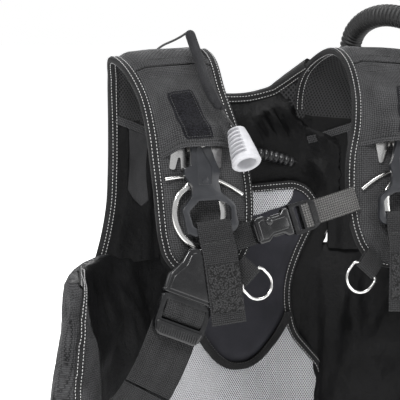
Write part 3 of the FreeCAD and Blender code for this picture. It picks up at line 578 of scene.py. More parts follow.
def tube(path, radii, segments=12):
    """A round tube along a path; `radii` is one value or one for each point."""
    path = np.asarray(path, float)
    ways = tangents(path)
    radii = np.broadcast_to(radii, len(path))
    side = unit(np.cross(ways[0], (0, 0, 1)))
    rows = []
    for point, way, radius in zip(path, ways, radii):
        side = unit(side - way * (side @ way))
        rows.append(point + radius * circle(side, np.cross(way, side), segments))
    return loft(rows)


def band(centres, wides, width, thick, rib=0.0, pitch=2.2, crosswise=False, edge=0.6):
    """Webbing with modelled ribs. Returns (points, faces) and the cloth coordinates of its points."""
    centres = np.asarray(centres, float)
    ways = tangents(centres)
    wides = np.broadcast_to(np.asarray(wides, float), centres.shape)
    wides = unit(wides - ways * np.sum(wides * ways, 1)[:, None])
    normals = np.cross(wides, ways)
    run = run_length(centres)
    if crosswise:
        across = np.concatenate([[-1, -0.97, -0.9], np.linspace(-0.75, 0.75, 7), [0.9, 0.97, 1]]) * width / 2
    else:
        count = int(round(width / pitch)) * 4
        across = np.linspace(-width / 2, width / 2, count + 1)
    rounding = np.sqrt(np.clip(1 - np.clip((np.abs(across) - width / 2 + edge) / edge, 0, 1) ** 2, 0, 1))
    rows, cloth = [], []
    for centre, wide, normal, along in zip(centres, wides, normals, run):
        if crosswise:
            relief = rib * (abs(math.sin(math.pi * along / pitch)) - 1) * np.ones(len(across))
        else:
            relief = rib * (np.abs(np.sin(math.pi * (across + width / 2) / pitch)) - 1)
        half = (thick / 2 + relief) * np.clip(rounding, 0.25, 1)
        front = centre + across[:, None] * wide + half[:, None] * normal
        rear = centre + across[::-1, None] * wide - half[::-1, None] * normal
        rows.append(np.vstack([front, rear]))
        cloth += [(value, along, 0) for value in across] + [(value, along, 0) for value in across[::-1]]
    return loft(rows), np.array(cloth)


STITCH_RING = 5
STITCH_LIFT = 0.15
FINE_STITCH = (3.0, 2.2, 0.8, 0.4)


def stitches(path, normals, pitch=3.5, long=2.2, wide=0.72, high=0.45):
    """A row of small thread dashes along a path on a surface."""
    path = np.asarray(path, float)
    run = run_length(path)
    count = max(1, int(run[-1] / pitch))
    at = (np.arange(count) + 0.5) * run[-1] / count
    centres = sampled(path, run, at)
    ups = unit(sampled(np.asarray(normals), run, at))
    ways = unit(sampled(tangents(path), run, at))
    sides = unit(np.cross(ups, ways))
    angles = np.arange(STITCH_RING) * 2 * math.pi / STITCH_RING
    template = [(-1, 0, 0)]
    for x in (-0.72, 0.72):
        template += [(x, math.cos(angle), math.sin(angle)) for angle in angles]
    template = np.array(template + [(1, 0, 0)])
    size = np.array((long / 2, wide / 2, high))
    local = template * size
    points = (centres[:, None] + ups[:, None] * STITCH_LIFT + local[None, :, 0:1] * ways[:, None]
              + local[None, :, 1:2] * sides[:, None] + local[None, :, 2:3] * ups[:, None])
    ring = STITCH_RING
    base = []
    for index in range(ring):
        after = (index + 1) % ring
        base.append((0, 1 + after, 1 + index))
        base.append((1 + index, 1 + after, 1 + ring + after, 1 + ring + index))
        base.append((1 + ring + index, 1 + ring + after, 1 + 2 * ring))
    total = 2 + 2 * ring
    faces = [tuple(number * total + index for index in face) for number in range(count) for face in base]
    return points.reshape(-1, 3), faces


# ---------------------------------------------------------------- pieces
def piece(name, shape, materials, body="vest", stands_for=(), cloth=None, crease=40, turn=True):
    """One visible piece: its mesh, its materials, the body it rides on and the nodes it stands for."""
    mesh = bpy.data.meshes.new(name)
    mesh.from_pydata((np.asarray(shape[0]) * MM).tolist(), [], shape[1])
    materials = materials if isinstance(materials, (list, tuple)) else [materials]
    for material in materials:
        mesh.materials.append(material)
    if len(shape) > 2:
        mesh.polygons.foreach_set("material_index", shape[2])
    if cloth is not None:
        layer = mesh.attributes.new("cloth", "FLOAT_VECTOR", "POINT")
        layer.data.foreach_set("vector", (np.asarray(cloth, np.float32) * MM).ravel())
    if turn:
        work = bmesh.new()
        work.from_mesh(mesh)
        bmesh.ops.recalc_face_normals(work, faces=work.faces)
        work.to_mesh(mesh)
        work.free()
    mesh.shade_smooth()
    mesh.set_sharp_from_angle(angle=math.radians(crease))
    made = bpy.data.objects.new(name, mesh)
    bpy.context.scene.collection.objects.link(made)
    if body:
        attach(made, body)
    if stands_for:
        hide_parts(*([stands_for] if isinstance(stands_for, str) else stands_for))
    return made


def finish_node(name, material):
    """Gives a CAD node its procedural finish."""
    node = frame["nodes"][name]
    node.data.materials.clear()
    node.data.materials.append(material)


def rigid(rotation_x=0.0, rotation_z=0.0, place=(0, 0, 0)):
    """A 4 x 4 placement: turned about Z, then about X, then moved."""
    matrix = np.eye(4)
    matrix[:3, :3] = np.array(Matrix.Rotation(rotation_x, 3, "X") @ Matrix.Rotation(rotation_z, 3, "Z"))
    matrix[:3, 3] = place
    return matrix


PIVOT_ACROSS, PIVOT_UP = -6, 50
PAD_TILT = math.asin(JOINTS["right_yoke_swivel"]["axis"][2])
PAD_WAY_UP = vec(0, math.sin(PAD_TILT), math.cos(PAD_TILT))
PAD_WAY_OUT = vec(0, -math.cos(PAD_TILT), math.sin(PAD_TILT))


def pad_origin(side):
    """Middle of the shoulder pad's local frame, from the yoke's pivot."""
    pivot = vec(*JOINTS[SIDE[side] + "_yoke_swivel"]["pos_m"]) / MM
    return pivot - PAD_WAY_UP * PIVOT_UP + vec(side * PIVOT_ACROSS, 0, 0)


def pad_matrix(side, across=0.0, up=0.0, out=0.0, turn=0.0):
    """Local X across, Y up and Z out of a shoulder pad; given for the right pad, mirrored for the left."""
    base = rigid(math.pi / 2 - PAD_TILT, 0, pad_origin(side))
    return base @ rigid(0, math.radians(-side * turn), (-side * across, up, out))


def on_pad(side, across, up, out):
    """Points given across, up and out of a shoulder pad."""
    across, up, out = np.broadcast_arrays(np.asarray(across, float), up, out)
    return (pad_origin(side) + (-side * across)[..., None] * vec(1, 0, 0) + up[..., None] * PAD_WAY_UP
            + out[..., None] * PAD_WAY_OUT)


def flip(points, side):
    """Local outline points, drawn for the right side, mirrored for the left."""
    return [(-side * point[0], *point[1:]) for point in points]


def wavy(points, size, amount, seed, tall=1):
    """Smooth random push for each point, from -amount to amount; `tall` under 1 draws it out upwards."""
    out = np.empty(len(points))
    for index, (x, y, z) in enumerate(points):
        out[index] = noise.noise(Vector((x / size + seed, y / size, z * tall / size)))
    return out * amount * 1.6


def ease(value):
    """0 to 1 with a soft start and end."""
    value = np.clip(value, 0, 1)
    return value * value * (3 - 2 * value)


# ---------------------------------------------------------------- shoulder straps
STRAP_ROWS = 110
BINDING_WIDE = 9.0
STRAP_EDGE = 2.6
STRAP_MIDDLE = 6.8
STITCH_DEPTHS = (1.9, 7.2)
AIR_MESH_FROM = 262


def strap_lines(side):
    """The strap's outer edge, inner edge and outward normal, from its foot over the shoulder to its round end."""
    rear = [((187, -212, 112), (102, -170, 112), (-0.45, 0.88, 0)),
            ((176, -206, 145), (102, -169, 145), (-0.43, 0.89, 0)),
            ((168, -199, 178), (101, -168, 178), (-0.42, 0.9, 0)),
            ((166, -198, 208), (86, -160, 208), (-0.4, 0.9, 0)),
            ((167, -204, 262), (66, -159, 268), (-0.3, 0.85, 0.35)),
            ((172, -220, 311), (64, -186, 318), (-0.15, 0.6, 0.8)),
            ((177, -244, 333), (71, -240, 340), (0, 0.05, 1)),
            ((171, -272, 323), (72, -274, 330), (0, -0.5, 0.87)),
            ((163, -296, 298), (71.5, -298, 302), (0, -0.82, 0.57))]
    lines = [np.concatenate([vec(side * outer[0], *outer[1:]), vec(side * inner[0], *inner[1:]),
                             unit(vec(-side * normal[0], *normal[1:]))]) for outer, inner, normal in rear]
    pad = [(-55.5, 41, 62), (-53, 49, 30), (-51, 52, 0), (-50, 51.5, -26), (-48, 48, -50), (-41.5, 39.5, -70),
           (-31, 30, -80.5), (-17, 16, -86), (-4, 4, -88)]
    for outer, inner, height in pad:
        lines.append(np.concatenate([on_pad(side, outer, height, -7), on_pad(side, inner, height, -7),
                                     PAD_WAY_OUT]))
    lines = np.array(lines)
    middle = np.hstack([(lines[:, :3] + lines[:, 3:6]) / 2, lines])
    dense = smooth(middle, STRAP_ROWS)
    return dense[:, 3:6], dense[:, 6:9], unit(dense[:, 9:12])


def strap_half(depth):
    """Half the strap's thickness at a distance in from its edge: flat under the binding, then padded."""
    rim = STRAP_EDGE * np.sqrt(np.clip(1 - (1 - np.clip(depth / STRAP_EDGE, 0, 1)) ** 2, 0, 1))
    return np.maximum(rim, 0.15) + (STRAP_MIDDLE - STRAP_EDGE) * ease((depth - 8) / 12)


def make_strap(side):
    """Padded strap: Cordura outside, air mesh and then satin inside."""
    name = SIDE[side]
    outer, inner, normal = strap_lines(side)
    widths = np.linalg.norm(outer - inner, axis=1)
    run = run_length((outer + inner) / 2)
    across = np.concatenate([[0, 0.012, 0.03, 0.06, 0.09, 0.12, 0.15, 0.19, 0.23, 0.28],
                             np.linspace(0.34, 0.5, 4)])
    across = np.concatenate([across, 1 - across[-2::-1]])
    rows, cloth = [], []
    for index in range(STRAP_ROWS):
        depth = np.minimum(across, 1 - across) * widths[index]
        line = outer[index] + across[:, None] * (inner[index] - outer[index])
        half = strap_half(depth)[:, None] * normal[index]
        rows.append(np.vstack([line + half, (line - half)[::-1]]))
        cloth += [(value * widths[index], run[index], 0) for value in across]
        cloth += [(value * widths[index], run[index], 5) for value in across[::-1]]
    points, faces = loft(rows)
    columns = len(across)
    pad_starts = int(STRAP_ROWS * 0.36)
    slots = []
    for number in range(len(faces)):
        row, column = divmod(number, 2 * columns)
        inside = column >= columns and row < STRAP_ROWS - 1
        lined = points[row * 2 * columns + min(column, 2 * columns - 1)][2] < AIR_MESH_FROM
        slots.append((2 if lined and row < pad_starts else 1) if inside else 0)
    front = wavy(points, 30, 0.9, 3.0 + side)
    towards = np.repeat(normal, 2 * columns, axis=0)
    signs = np.tile(np.concatenate([np.ones(columns), -np.ones(columns)]), STRAP_ROWS)
    calm = np.tile(np.concatenate([ease((np.minimum(across, 1 - across) - 0.1) / 0.2)] * 2), STRAP_ROWS)
    points = points + towards * (front * signs * calm)[:, None]
    strap = piece(name + "_strap_body", (points, faces, slots), [CORDURA, AIR_MESH, SATIN],
                  stands_for=name + "_shoulder_strap", cloth=cloth)
    make_strap_binding(side, outer, inner, normal)
    make_strap_lining(side, strap)
    return outer, inner, normal


def lay_on(tree, points, way=(0, 1, 0), lift=0.3, start=(0, -60, 0)):
    """Drops points along a direction on to a piece; returns the places and normals that face the start."""
    places, normals = [], []
    way = Vector(way).normalized()
    for point in np.asarray(points, float):
        origin = Vector((point + np.asarray(start, float)) * MM)
        hit, normal, _, _ = tree.ray_cast(origin, way)
        if hit is None:
            hit, normal, _, _ = tree.find_nearest(Vector(point * MM))
        if normal.dot(way) > 0:
            normal = -normal
        places.append(np.array(hit) / MM + np.array(normal) * lift)
        normals.append(np.array(normal))
    return np.array(places), unit(np.array(normals))


def surface_tree(obj):
    """Search tree of a piece's surface, for lay_on."""
    return BVHTree.FromObject(obj, bpy.context.evaluated_depsgraph_get())


def make_strap_lining(side, strap):
    """Inside of the strap's rear: a slanted hem strip, and a smooth panel under it beside black satin, in a
    lighter copy of that satin whose grey is painted light.
    """
    name = SIDE[side]
    tree = surface_tree(strap)

    def hem(x):
        return 252 + (x - 128) * 0.4

    line = np.array([(side * x, -205, hem(x) + 4) for x in np.linspace(80, 161, 40)])
    places, normals = lay_on(tree, line, lift=0.9, start=(0, -20, 0))
    ups = unit(np.cross(normals, tangents(places)))
    shape, cloth = band(places, ups, 9, 1.6)
    piece(name + "_strap_hem", shape, CORDURA, cloth=cloth)
    grid = []
    for part in np.linspace(0, 1, 30):
        left, right = 145 - 2 * math.sin(math.pi * part), 118 + 3 * math.sin(math.pi * part)
        row = []
        for across in np.linspace(0, 1, 12):
            x = left + (right - left) * across
            foot = 192 - 28 * math.sin(math.pi * across * 0.5) + 14 * across ** 3
            row.append((side * x, -205, hem(x) - part * (hem(x) - foot)))
        grid.append(row)
    grid = np.array(grid)
    places, normals = lay_on(tree, grid.reshape(-1, 3), lift=0.8, start=(0, -20, 0))
    front = places.reshape(grid.shape)
    # the panel's grey is painted light: the black satin shown lit, as a lighter copy
    piece(name + "_strap_panel", sheet_shape(front, (0, -1, 0), 0.8), SATIN_PAINTED_LIGHT)


def edge_tape(name, path, inward, normal, wide=BINDING_WIDE, rise=3.35, closed=False):
    """Binding tape folded over an edge: a C in section, flat on both faces."""
    section = [(wide, rise - 1.0), (wide - 0.4, rise), (wide * 0.55, rise + 0.15), (1.4, rise),
               (-0.5, rise * 0.66),
               (-1.0, 0), (-0.5, -rise * 0.66), (1.4, -rise), (wide * 0.55, -rise - 0.15),
               (wide - 0.4, -rise),
               (wide, -rise + 1.0), (wide - 1, -rise + 1.3), (1.5, -rise + 1.4), (1.5, rise - 1.4),
               (wide - 1, rise - 1.3)]
    rows = [point + depth * way + height * out
            for point, way, out in zip(path, inward, normal) for depth, height in section]
    run = run_length(path)
    cloth = [(depth + height, along, 0) for along in run for depth, height in section]
    shape = loft(np.array(rows).reshape(len(path), len(section), 3), loop=closed)
    return piece(name, shape, BINDING, cloth=cloth)


def make_strap_binding(side, outer, inner, normal):
    """Tape round the strap's edge, from the foot of its outer edge to where its inner edge meets the neck."""
    name = SIDE[side]
    neck_row = int(STRAP_ROWS * 0.315)
    inner_part = inner[neck_row:][::-1]
    path = np.vstack([outer, inner_part])
    normals = np.vstack([normal, normal[neck_row:][::-1]])
    across = np.vstack([inner - outer, (outer - inner)[neck_row:][::-1]])
    joined = smooth(np.hstack([path, normals, across]), 300)
    path, normals = joined[:, :3], unit(joined[:, 3:6])
    ways = tangents(path)
    inward = unit(np.cross(normals, ways))
    inward *= np.sign(np.sum(inward * joined[:, 6:9], 1).mean())
    edge_tape(name + "_strap_binding", path, inward, normals)
    rows = []
    for face in (1, -1):
        for depth in STITCH_DEPTHS:
            line = path + depth * inward + face * 3.5 * normals
            rows.append(stitches(line, face * normals))
    piece(name + "_strap_stitches", combine(rows), WHITE_THREAD, turn=False)


def strap_surface(side, strap, across, height, lift=0.0):
    """A point on the strap's front: across 0 at its outer edge to 1 at its inner, at a pad height."""
    outer, inner, normal = strap
    middle = (outer + inner) / 2
    heights = (middle - pad_origin(side)) @ PAD_WAY_UP
    order = np.arange(int(np.argmax(heights)), STRAP_ROWS)
    row = np.interp(height, heights[order][::-1], order[::-1].astype(float))
    low = np.floor(row).astype(int).clip(0, STRAP_ROWS - 2)
    part = (row - low)[..., None]
    here_outer = outer[low] * (1 - part) + outer[low + 1] * part
    here_inner = inner[low] * (1 - part) + inner[low + 1] * part
    here_normal = unit(normal[low] * (1 - part) + normal[low + 1] * part)
    across = np.asarray(across, float)
    width = np.linalg.norm(here_inner - here_outer, axis=-1)
    depth = np.minimum(across, 1 - across) * width
    line = here_outer + across[..., None] * (here_inner - here_outer)
    return line + (strap_half(depth) + lift)[..., None] * here_normal, here_normal


FLAP_TOP = 124.0
FLAP_LONG = 76


def flap_point(side, strap, across, along, lift=0.0):
    """The cover flap: sewn down at its top and sides, arched off the strap over the hardware at its hem."""
    across, along = np.broadcast_arrays(np.asarray(across, float), np.asarray(along, float))
    hem = 42.5 - 9.0 * ease((0.28 - across) / 0.28) ** 1.2 - 2.5 * ease((across - 0.75) / 0.25)
    height = FLAP_TOP + (hem - FLAP_TOP) * along
    spread = 0.095 + across * 0.81
    base, _ = strap_surface(side, strap, spread, height, 0.9)
    out = (base - pad_origin(side)) @ PAD_WAY_OUT
    leaf = np.interp(height, [42, 62, 72, 84, 94, 108, 124], [24.2, 23.6, 14.5, 8.5, 3.5, -13, -40])
    arch = ease((across - 0.02) / 0.36) * ease((0.97 - across) / 0.36)
    rise = np.maximum(leaf - out, 0) * arch
    return base + (rise + lift)[..., None] * PAD_WAY_OUT


def sheet_shape(front, thick_way, thick):
    """A thin closed sheet from a grid of front points."""
    front = np.asarray(front, float)
    rear = front - np.broadcast_to(np.asarray(thick_way, float), front.shape) * thick
    rows = np.concatenate([front, rear[:, ::-1]], axis=1)
    return loft(rows)


def grid_cloth(points):
    """Cloth coordinates over a grid of points, doubled for the sheet's rear."""
    along = run_length(points.mean(1))
    across = run_length(points.mean(0))
    rows = []
    for value in along:
        line = [(x, value, 0) for x in across]
        rows += line + line[::-1]
    return np.array(rows)


def make_flap(side, strap):
    """Cover flap over the strap's hardware, with its seams, cross tape, folded hem and loop patch."""
    name = SIDE[side]
    across = np.linspace(0, 1, 33)
    along = np.linspace(0, 1, 34)
    grid_across, grid_along = np.meshgrid(across, along)
    front = flap_point(side, strap, grid_across, grid_along)
    ripple = wavy(front.reshape(-1, 3), 24, 0.8, 9.0 + side).reshape(front.shape[:2])
    ripple *= ease(grid_across / 0.15) * ease((1 - grid_across) / 0.15)
    front = front + ripple[..., None] * PAD_WAY_OUT
    flap = piece(name + "_flap", sheet_shape(front, PAD_WAY_OUT, 1.4), CORDURA,
                 stands_for=name + "_cover_flap", cloth=grid_cloth(front))
    long = float(run_length(front[:, 16])[-1])
    wide = float(np.mean([run_length(row)[-1] for row in front]))

    ways = np.broadcast_to(PAD_WAY_OUT, (60, 3))
    hem_line = np.linspace(0.02, 0.98, 60)
    seam_places = [1 - 2.2 / FLAP_LONG, 1 - 6.5 / FLAP_LONG, 3 / FLAP_LONG, 9 / FLAP_LONG]
    rows = [stitches(flap_point(side, strap, hem_line, along), ways, *FINE_STITCH) for along in seam_places]
    top = strap_surface(side, strap, np.linspace(0.11, 0.89, 60), np.full(60, FLAP_TOP + 6), 0.2)[0]
    rows.append(stitches(top, ways, *FINE_STITCH))
    piece(name + "_flap_stitches", combine(rows), BLACK_THREAD, turn=False)

    # cross tape over the flap's sewn top
    tape_line = strap_surface(side, strap, np.linspace(0.09, 0.91, 60), np.full(60, FLAP_TOP + 4.5), 0.6)
    shape, cloth = band(tape_line[0], unit(np.cross(tape_line[1], tangents(tape_line[0]))), 10, 1.7)
    piece(name + "_flap_tape", shape, CORDURA, cloth=cloth)
    seams = [stitches(strap_surface(side, strap, np.linspace(0.1, 0.9, 60), np.full(60, FLAP_TOP + rise),
                                    1.5)[0],
                      tape_line[1], *FINE_STITCH) for rise in (1.0, 8.0)]
    piece(name + "_tape_stitches", combine(seams), BLACK_THREAD, turn=False)

    # hem fold: a doubled edge along the flap's foot
    hem = flap_point(side, strap, hem_line, 0.985, 0.6)
    fold = band(smooth(hem, 60), PAD_WAY_UP, 4.0, 1.5)
    piece(name + "_flap_hem", fold[0], CORDURA, cloth=fold[1])

    # loop patch on the flap
    corners = [(0.20, 0.34), (0.545, 0.315), (0.62, 0.90), (0.265, 0.915)]
    rows = 26
    across = np.empty((rows, 14))
    along = np.empty((rows, 14))
    for row, down in enumerate(np.linspace(0, 1, rows)):
        start = vec(*corners[0]) * (1 - down) + vec(*corners[3]) * down
        end = vec(*corners[1]) * (1 - down) + vec(*corners[2]) * down
        inset = 0.06 * (abs(2 * down - 1) ** 12)
        part = np.linspace(inset, 1 - inset, 14)[:, None]
        line = start * (1 - part) + end * part
        across[row], along[row] = line[:, 0], line[:, 1]
    patch = flap_point(side, strap, across, along, 1.5)
    piece(name + "_loop_patch", sheet_shape(patch, PAD_WAY_OUT, 1.4), LOOP,
          cloth=grid_cloth(patch))
    border = np.vstack([patch[1, 1:-1], patch[1:-1, -2], patch[-2, -2:0:-1], patch[-2:0:-1, 1]])
    row = stitches(border, np.broadcast_to(PAD_WAY_OUT, border.shape), 2.6, 1.8, 0.7, 0.35)
    piece(name + "_patch_stitches", row, BLACK_THREAD, turn=False)


STRAPS = {}
for side in (RIGHT, LEFT):
    STRAPS[side] = make_strap(side)
    make_flap(side, STRAPS[side])


# ---------------------------------------------------------------- shoulder hardware
YOKE_LOW, YOKE_HIGH = 10.8, 16.8


def make_yoke(side):
    """Moulded link: a bevelled plate, a raised tapering spine, and a thin rim round its opening."""
    name = SIDE[side]
    outline = [(-9, 11), (9, 11), (9.5, 0), (8.5, -8), (14.5, -26, 1.5), (17.5, -33), (15.2, -42),
               (17, -54, 6),
               (31, -65, 7), (34, -87, 7), (29, -93, 6), (-12, -96.5), (-19, -93), (-23.5, -70),
               (-13, -57, 6),
               (-11.5, -48), (-19.5, -36), (-19, -28.5, 1.5), (-12, -26.5, 1.5), (-11, -7)]
    opening = [(-6.5, -61.5), (13, -61), (23, -65, 7), (27.5, -69, 7), (27, -81, 6), (24, -85.5, 5),
               (-10, -89.5),
               (-14, -86), (-17.5, -72)]
    spine = [(-7, -8), (-1.5, -8), (8.5, -28), (7.5, -46), (-6, -46), (-7, -28)]
    badge = [(-2, -38), (4, -38), (4, -43.5), (-2, -43.5)]
    shapes = [plate([rounded(flip(outline, side), 3), rounded(flip(opening, side), 3)], YOKE_LOW, YOKE_HIGH,
                    1.5),
              plate([rounded(flip(spine, side), 1.5)], YOKE_HIGH - 1, YOKE_HIGH + 0.9, 0.8, 1),
              plate([rounded(flip(badge, side), 1)], YOKE_HIGH + 0.3, YOKE_HIGH + 1.3, 0.3)]
    at = pad_matrix(side, PIVOT_ACROSS, PIVOT_UP)
    piece(name + "_yoke_link", moved(combine(shapes), at), SLATE_PLASTIC, name + "_yoke",
          stands_for=name + "_yoke", crease=25)


def make_swivel_ring(side):
    """Oval stainless link on a narrow neck, with rounded edges."""
    name = SIDE[side]
    outer = [(0, 10), (-7.5, 6), (-9, -6), (-9, -34), (-17, -45), (-27, -54), (-32, -70), (-29, -90),
             (-18, -104), (-3, -110), (12, -104), (21, -90), (24, -70), (20, -55), (12, -46), (8.5, -34),
             (8.5, -6), (7.5, 6)]
    inner = [(-3, -49), (-13, -50.5), (-22, -57), (-26, -70), (-23.5, -87), (-14.5, -99.5), (-3, -104),
             (8.5, -99.5), (15.5, -87), (18, -70), (15, -58), (7, -50.5)]
    outer, inner = [smooth([(x, y, 0) for x, y in flip(edge, side)], count, True)[:, :2]
                    for edge, count in ((outer, 90), (inner, 80))]
    at = pad_matrix(side, PIVOT_ACROSS, PIVOT_UP)
    base = plate([outer, inner], 5.0, 9.0, 1.5, 4)
    piece(name + "_ring_link", moved(base, at), STEEL, name + "_swivel_ring",
          stands_for=name + "_swivel_ring", crease=60)


def make_keeper(side):
    """Ribbed webbing round the yoke's lower bar, down over the buckle, with a hook patch."""
    name = SIDE[side]
    thick = 1.4
    over = 9.6 + 12 + thick + 0.2
    front = YOKE_HIGH + thick / 2 + 0.1
    rear = YOKE_LOW - thick / 2 - 0.1
    route = [(-95, over), (-70, over + 0.6), (-45, over + 0.8), (-24, over), (-12, front + 1.5), (0, front),
             (4, front),
             (6.9, front - 1.5), (7.6, (front + rear) / 2), (6.9, rear + 1.5), (4, rear), (-4, rear),
             (-9, rear)]
    line = smooth([(0, y, z) for y, z in route], 340)
    shape, cloth = band(line, (1, 0, 0), 36, thick, 0.45, 2.05, crosswise=True)
    at = pad_matrix(side, 2, -39.5, 0, 4.5)
    piece(name + "_keeper", moved(shape, at), WEBBING, name + "_yoke",
          stands_for=name + "_keeper_webbing", cloth=cloth)
    rows = []
    for height in (-13.5, -15.2):
        path = np.array([(x, height + 0.05 * x, front + 2.6) for x in np.linspace(-13, 13, 20)])
        rows.append(stitches(path, np.broadcast_to(vec(0, 0, 1), path.shape), 2.3, 1.6, 0.8, 0.5))
    piece(name + "_keeper_tacks", moved(combine(rows), at), CORD, name + "_yoke", turn=False)
    patch = np.array([[(x + 1, y, over + 1.7 + 0.3 * math.sin(y / 9)) for x in np.linspace(-16.5, 16.5, 12)]
                      for y in np.linspace(-36, -83, 24)])
    piece(name + "_hook_patch", moved(sheet_shape(patch, (0, 0, 1), 1.6), at), HOOK,
          name + "_yoke",
          cloth=grid_cloth(patch))


BUCKLE_PLACE = (-30, -107.5, 9.6, -22.7)


def ribs(places, half, span, radius, low, high, bevel):
    """Small upright ribs across a buckle's grip."""
    return [plate([rounded([(x - half, span[0]), (x + half, span[0]), (x + half, span[1]),
                            (x - half, span[1])],
                           radius, 2)], low, high, bevel, 2) for x in places]


def make_shoulder_buckle(side):
    """Side-release buckle: a domed socket with a collar, and a plug with a ladder bar and a ribbed lip."""
    name = SIDE[side]
    at = pad_matrix(side, *BUCKLE_PLACE)
    half = 26
    socket = [(-half, 0, 2), (half, 0, 2), (half, 19, 9), (18.5, 33, 8), (15.5, 50, 9), (-15.5, 50, 9),
              (-18.5, 33, 8),
              (-half, 19, 9)]
    crown = [(-half + 3, 3, 2), (half - 3, 3, 2), (half - 4, 17, 8), (13.5, 31, 8), (12, 46, 7), (-12, 46, 7),
             (-13.5, 31, 8), (-half + 4, 17, 8)]
    shapes = [plate([rounded(flip(socket, side), 3, 8)], 0, 12, 3.2, 5),
              plate([rounded(flip(crown, side), 3, 8)], 10.5, 13.2, 1.4, 4),
              plate([rounded(flip([(-half - 0.6, 0), (half + 0.6, 0), (half + 0.6, 4.5),
                                   (-half - 0.6, 4.5)], side), 1.5)],
                    -0.4, 12.6, 0.8, 3)]
    piece(name + "_buckle_socket", moved(combine(shapes), at), GLOSS_PLASTIC, name + "_yoke",
          stands_for=name + "_buckle_female", crease=30)

    rail_inner = half - 5
    frame_outline = [(-half, -1), (-half, -30, 6), (-half + 4, -41, 6), (half - 4, -41, 6), (half, -30, 6),
                     (half, -1)]
    slot_top = [(-rail_inner, -6), (rail_inner, -6), (rail_inner, -11), (-rail_inner, -11)]
    slot_low = [(-rail_inner, -18), (rail_inner, -18), (rail_inner, -26), (-rail_inner, -26)]
    shapes = [plate([rounded(flip(frame_outline, side), 3, 8), rounded(flip(slot_top, side), 1.2),
                     rounded(flip(slot_low, side), 1.2)], 1, 11, 1.6, 4)]
    lip = [(-half + 1, -28, 2), (half - 1, -28, 2), (half - 4.5, -42, 6), (-half + 4.5, -42, 6)]
    shapes.append(plate([rounded(flip(lip, side), 3, 8)], 6, 13.5, 2.2, 4))
    shapes += ribs(-20 + np.arange(17) * 2.5, 0.6, (-32, -40), 0.5, 12.8, 14.1, 0.4)
    arms = [(-21, -2), (21, -2), (21, 20), (16, 33), (13, 33), (15, 18), (14, 6), (3, 6), (3, 24), (-3, 24),
            (-3, 6), (-14, 6), (-15, 18), (-13, 33), (-16, 33), (-21, 20)]
    shapes.append(plate([rounded(flip(arms, side), 1)], 3, 9, 0.8, 2))
    piece(name + "_buckle_plug", moved(combine(shapes), at), GLOSS_PLASTIC,
          name + "_buckle_male", stands_for=name + "_buckle_male", crease=30)

    # webbing wrapped round the ladder bar, with its ribs round the bar
    angles = np.linspace(-0.6, 3.2, 20)
    wrap = [(0, -14.5 + 8.8 * math.cos(a), 7.6 + 5.4 * math.sin(a)) for a in angles]
    wrap = smooth(np.array(wrap + [(0, -23.8, 4.0), (0, -25.6, 1.0), (0, -29.5, -0.1), (0, -35, -0.2)]), 56)
    shape, cloth = band(wrap, (1, 0, 0), 41, 1.8, 0.5, 2.3)
    piece(name + "_bar_wrap", moved(shape, at), WEBBING, name + "_buckle_male", cloth=cloth)


def lower_route(side):
    """Centre line and width direction of the 50 mm strap, from under the buckle's lip back to the lobe's foot."""
    at = pad_matrix(side, *BUCKLE_PLACE)
    points, wides = [], []
    for y, z in ((-27, -2.2), (-38, -3.2), (-52, -5.6), (-72, -11)):
        points.append((at @ np.array([0, y, z, 1]))[:3])
        wides.append(at[:3, 0])
    turned = (0.25, 0.5, 0.75, 1)
    for upright, (x, ahead, z) in zip(turned,
                                      [(184, 351, -8), (192, 324, -28), (189, 290, -40), (172, 254, -48)]):
        points.append(vec(side * x, -ahead, z))
        wides.append(unit(vec(side * (0.86 - 0.8 * upright), 0, 0.5 + 0.5 * upright)) * (-side))
    joined = smooth(np.hstack([points, wides]), 90)
    return joined[:, :3], unit(joined[:, 3:])


def make_lower_strap(side):
    """The 50 mm strap from the buckle to the lobe; it rides on no body."""
    name = SIDE[side]
    line, wides = lower_route(side)
    shape, cloth = band(line, wides, 50, 2.0, 0.55, 2.3)
    strap = piece(name + "_lower_webbing", shape, WEBBING, body=None,
                  stands_for=name + "_lower_strap", cloth=cloth)
    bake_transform(strap)


def make_small_ring(side):
    """The ribbed tab that holds the small D-ring; the ring itself is the CAD's, in steel."""
    at = pad_matrix(side, 41, -89, 5.4, 43)
    route = [(17, -5.5), (9, -5.2), (3.2, -3.1), (0, -2.75), (-2.4, -1.8), (-3.2, 0), (-2.4, 1.8), (0, 2.75),
             (4, 2.6), (10, 1.6), (19, -1.5)]
    line = smooth([(0, y, z) for y, z in route], 60)
    shape, cloth = band(line, (1, 0, 0), 22, 1.5, 0.45, 2.2)
    return moved(shape, at), cloth


tabs, tab_cloth = [], []
for side in (RIGHT, LEFT):
    make_yoke(side)
    make_swivel_ring(side)
    make_keeper(side)
    make_shoulder_buckle(side)
    make_lower_strap(side)
    shape, cloth = make_small_ring(side)
    tabs.append(shape)
    tab_cloth.append(cloth)
    finish_node(SIDE[side] + "_small_ring", STEEL)
piece("ring_tab_webbing", combine(tabs), WEBBING, stands_for="ring_tabs",
      cloth=np.vstack(tab_cloth))
for node in ("base_plates", "rivets", "cross_rods"):
    finish_node(node, STEEL)


# the rest of the hard parts keep their CAD shape
FINISHES = {
    "backpack_plate": BLACK_PLASTIC, "tank_grip_pad": RUBBER, "cam_buckle_frame": BLACK_PLASTIC,
    "cam_buckle_lever": BLACK_PLASTIC, "dump_valve": BLACK_PLASTIC, "rear_dump_valve": BLACK_PLASTIC,
    "inflator_elbow": BLACK_PLASTIC, "inflator_body": BLACK_PLASTIC, "inflate_button": KNOB_PLASTIC,
    "deflate_button": KNOB_PLASTIC, "mouthpiece": RUBBER, "rear_dump_knob": BLACK_PLASTIC,
}
for node, material in FINISHES.items():
    finish_node(node, material)


# ---------------------------------------------------------------- panels cut from an outline
WRAP_DEEP, WRAP_AT = 60, 165


def wrap(x):
    """How far the vest's back has curved forward at a distance x from its middle."""
    return WRAP_DEEP * (np.asarray(x, float) / WRAP_AT) ** 2


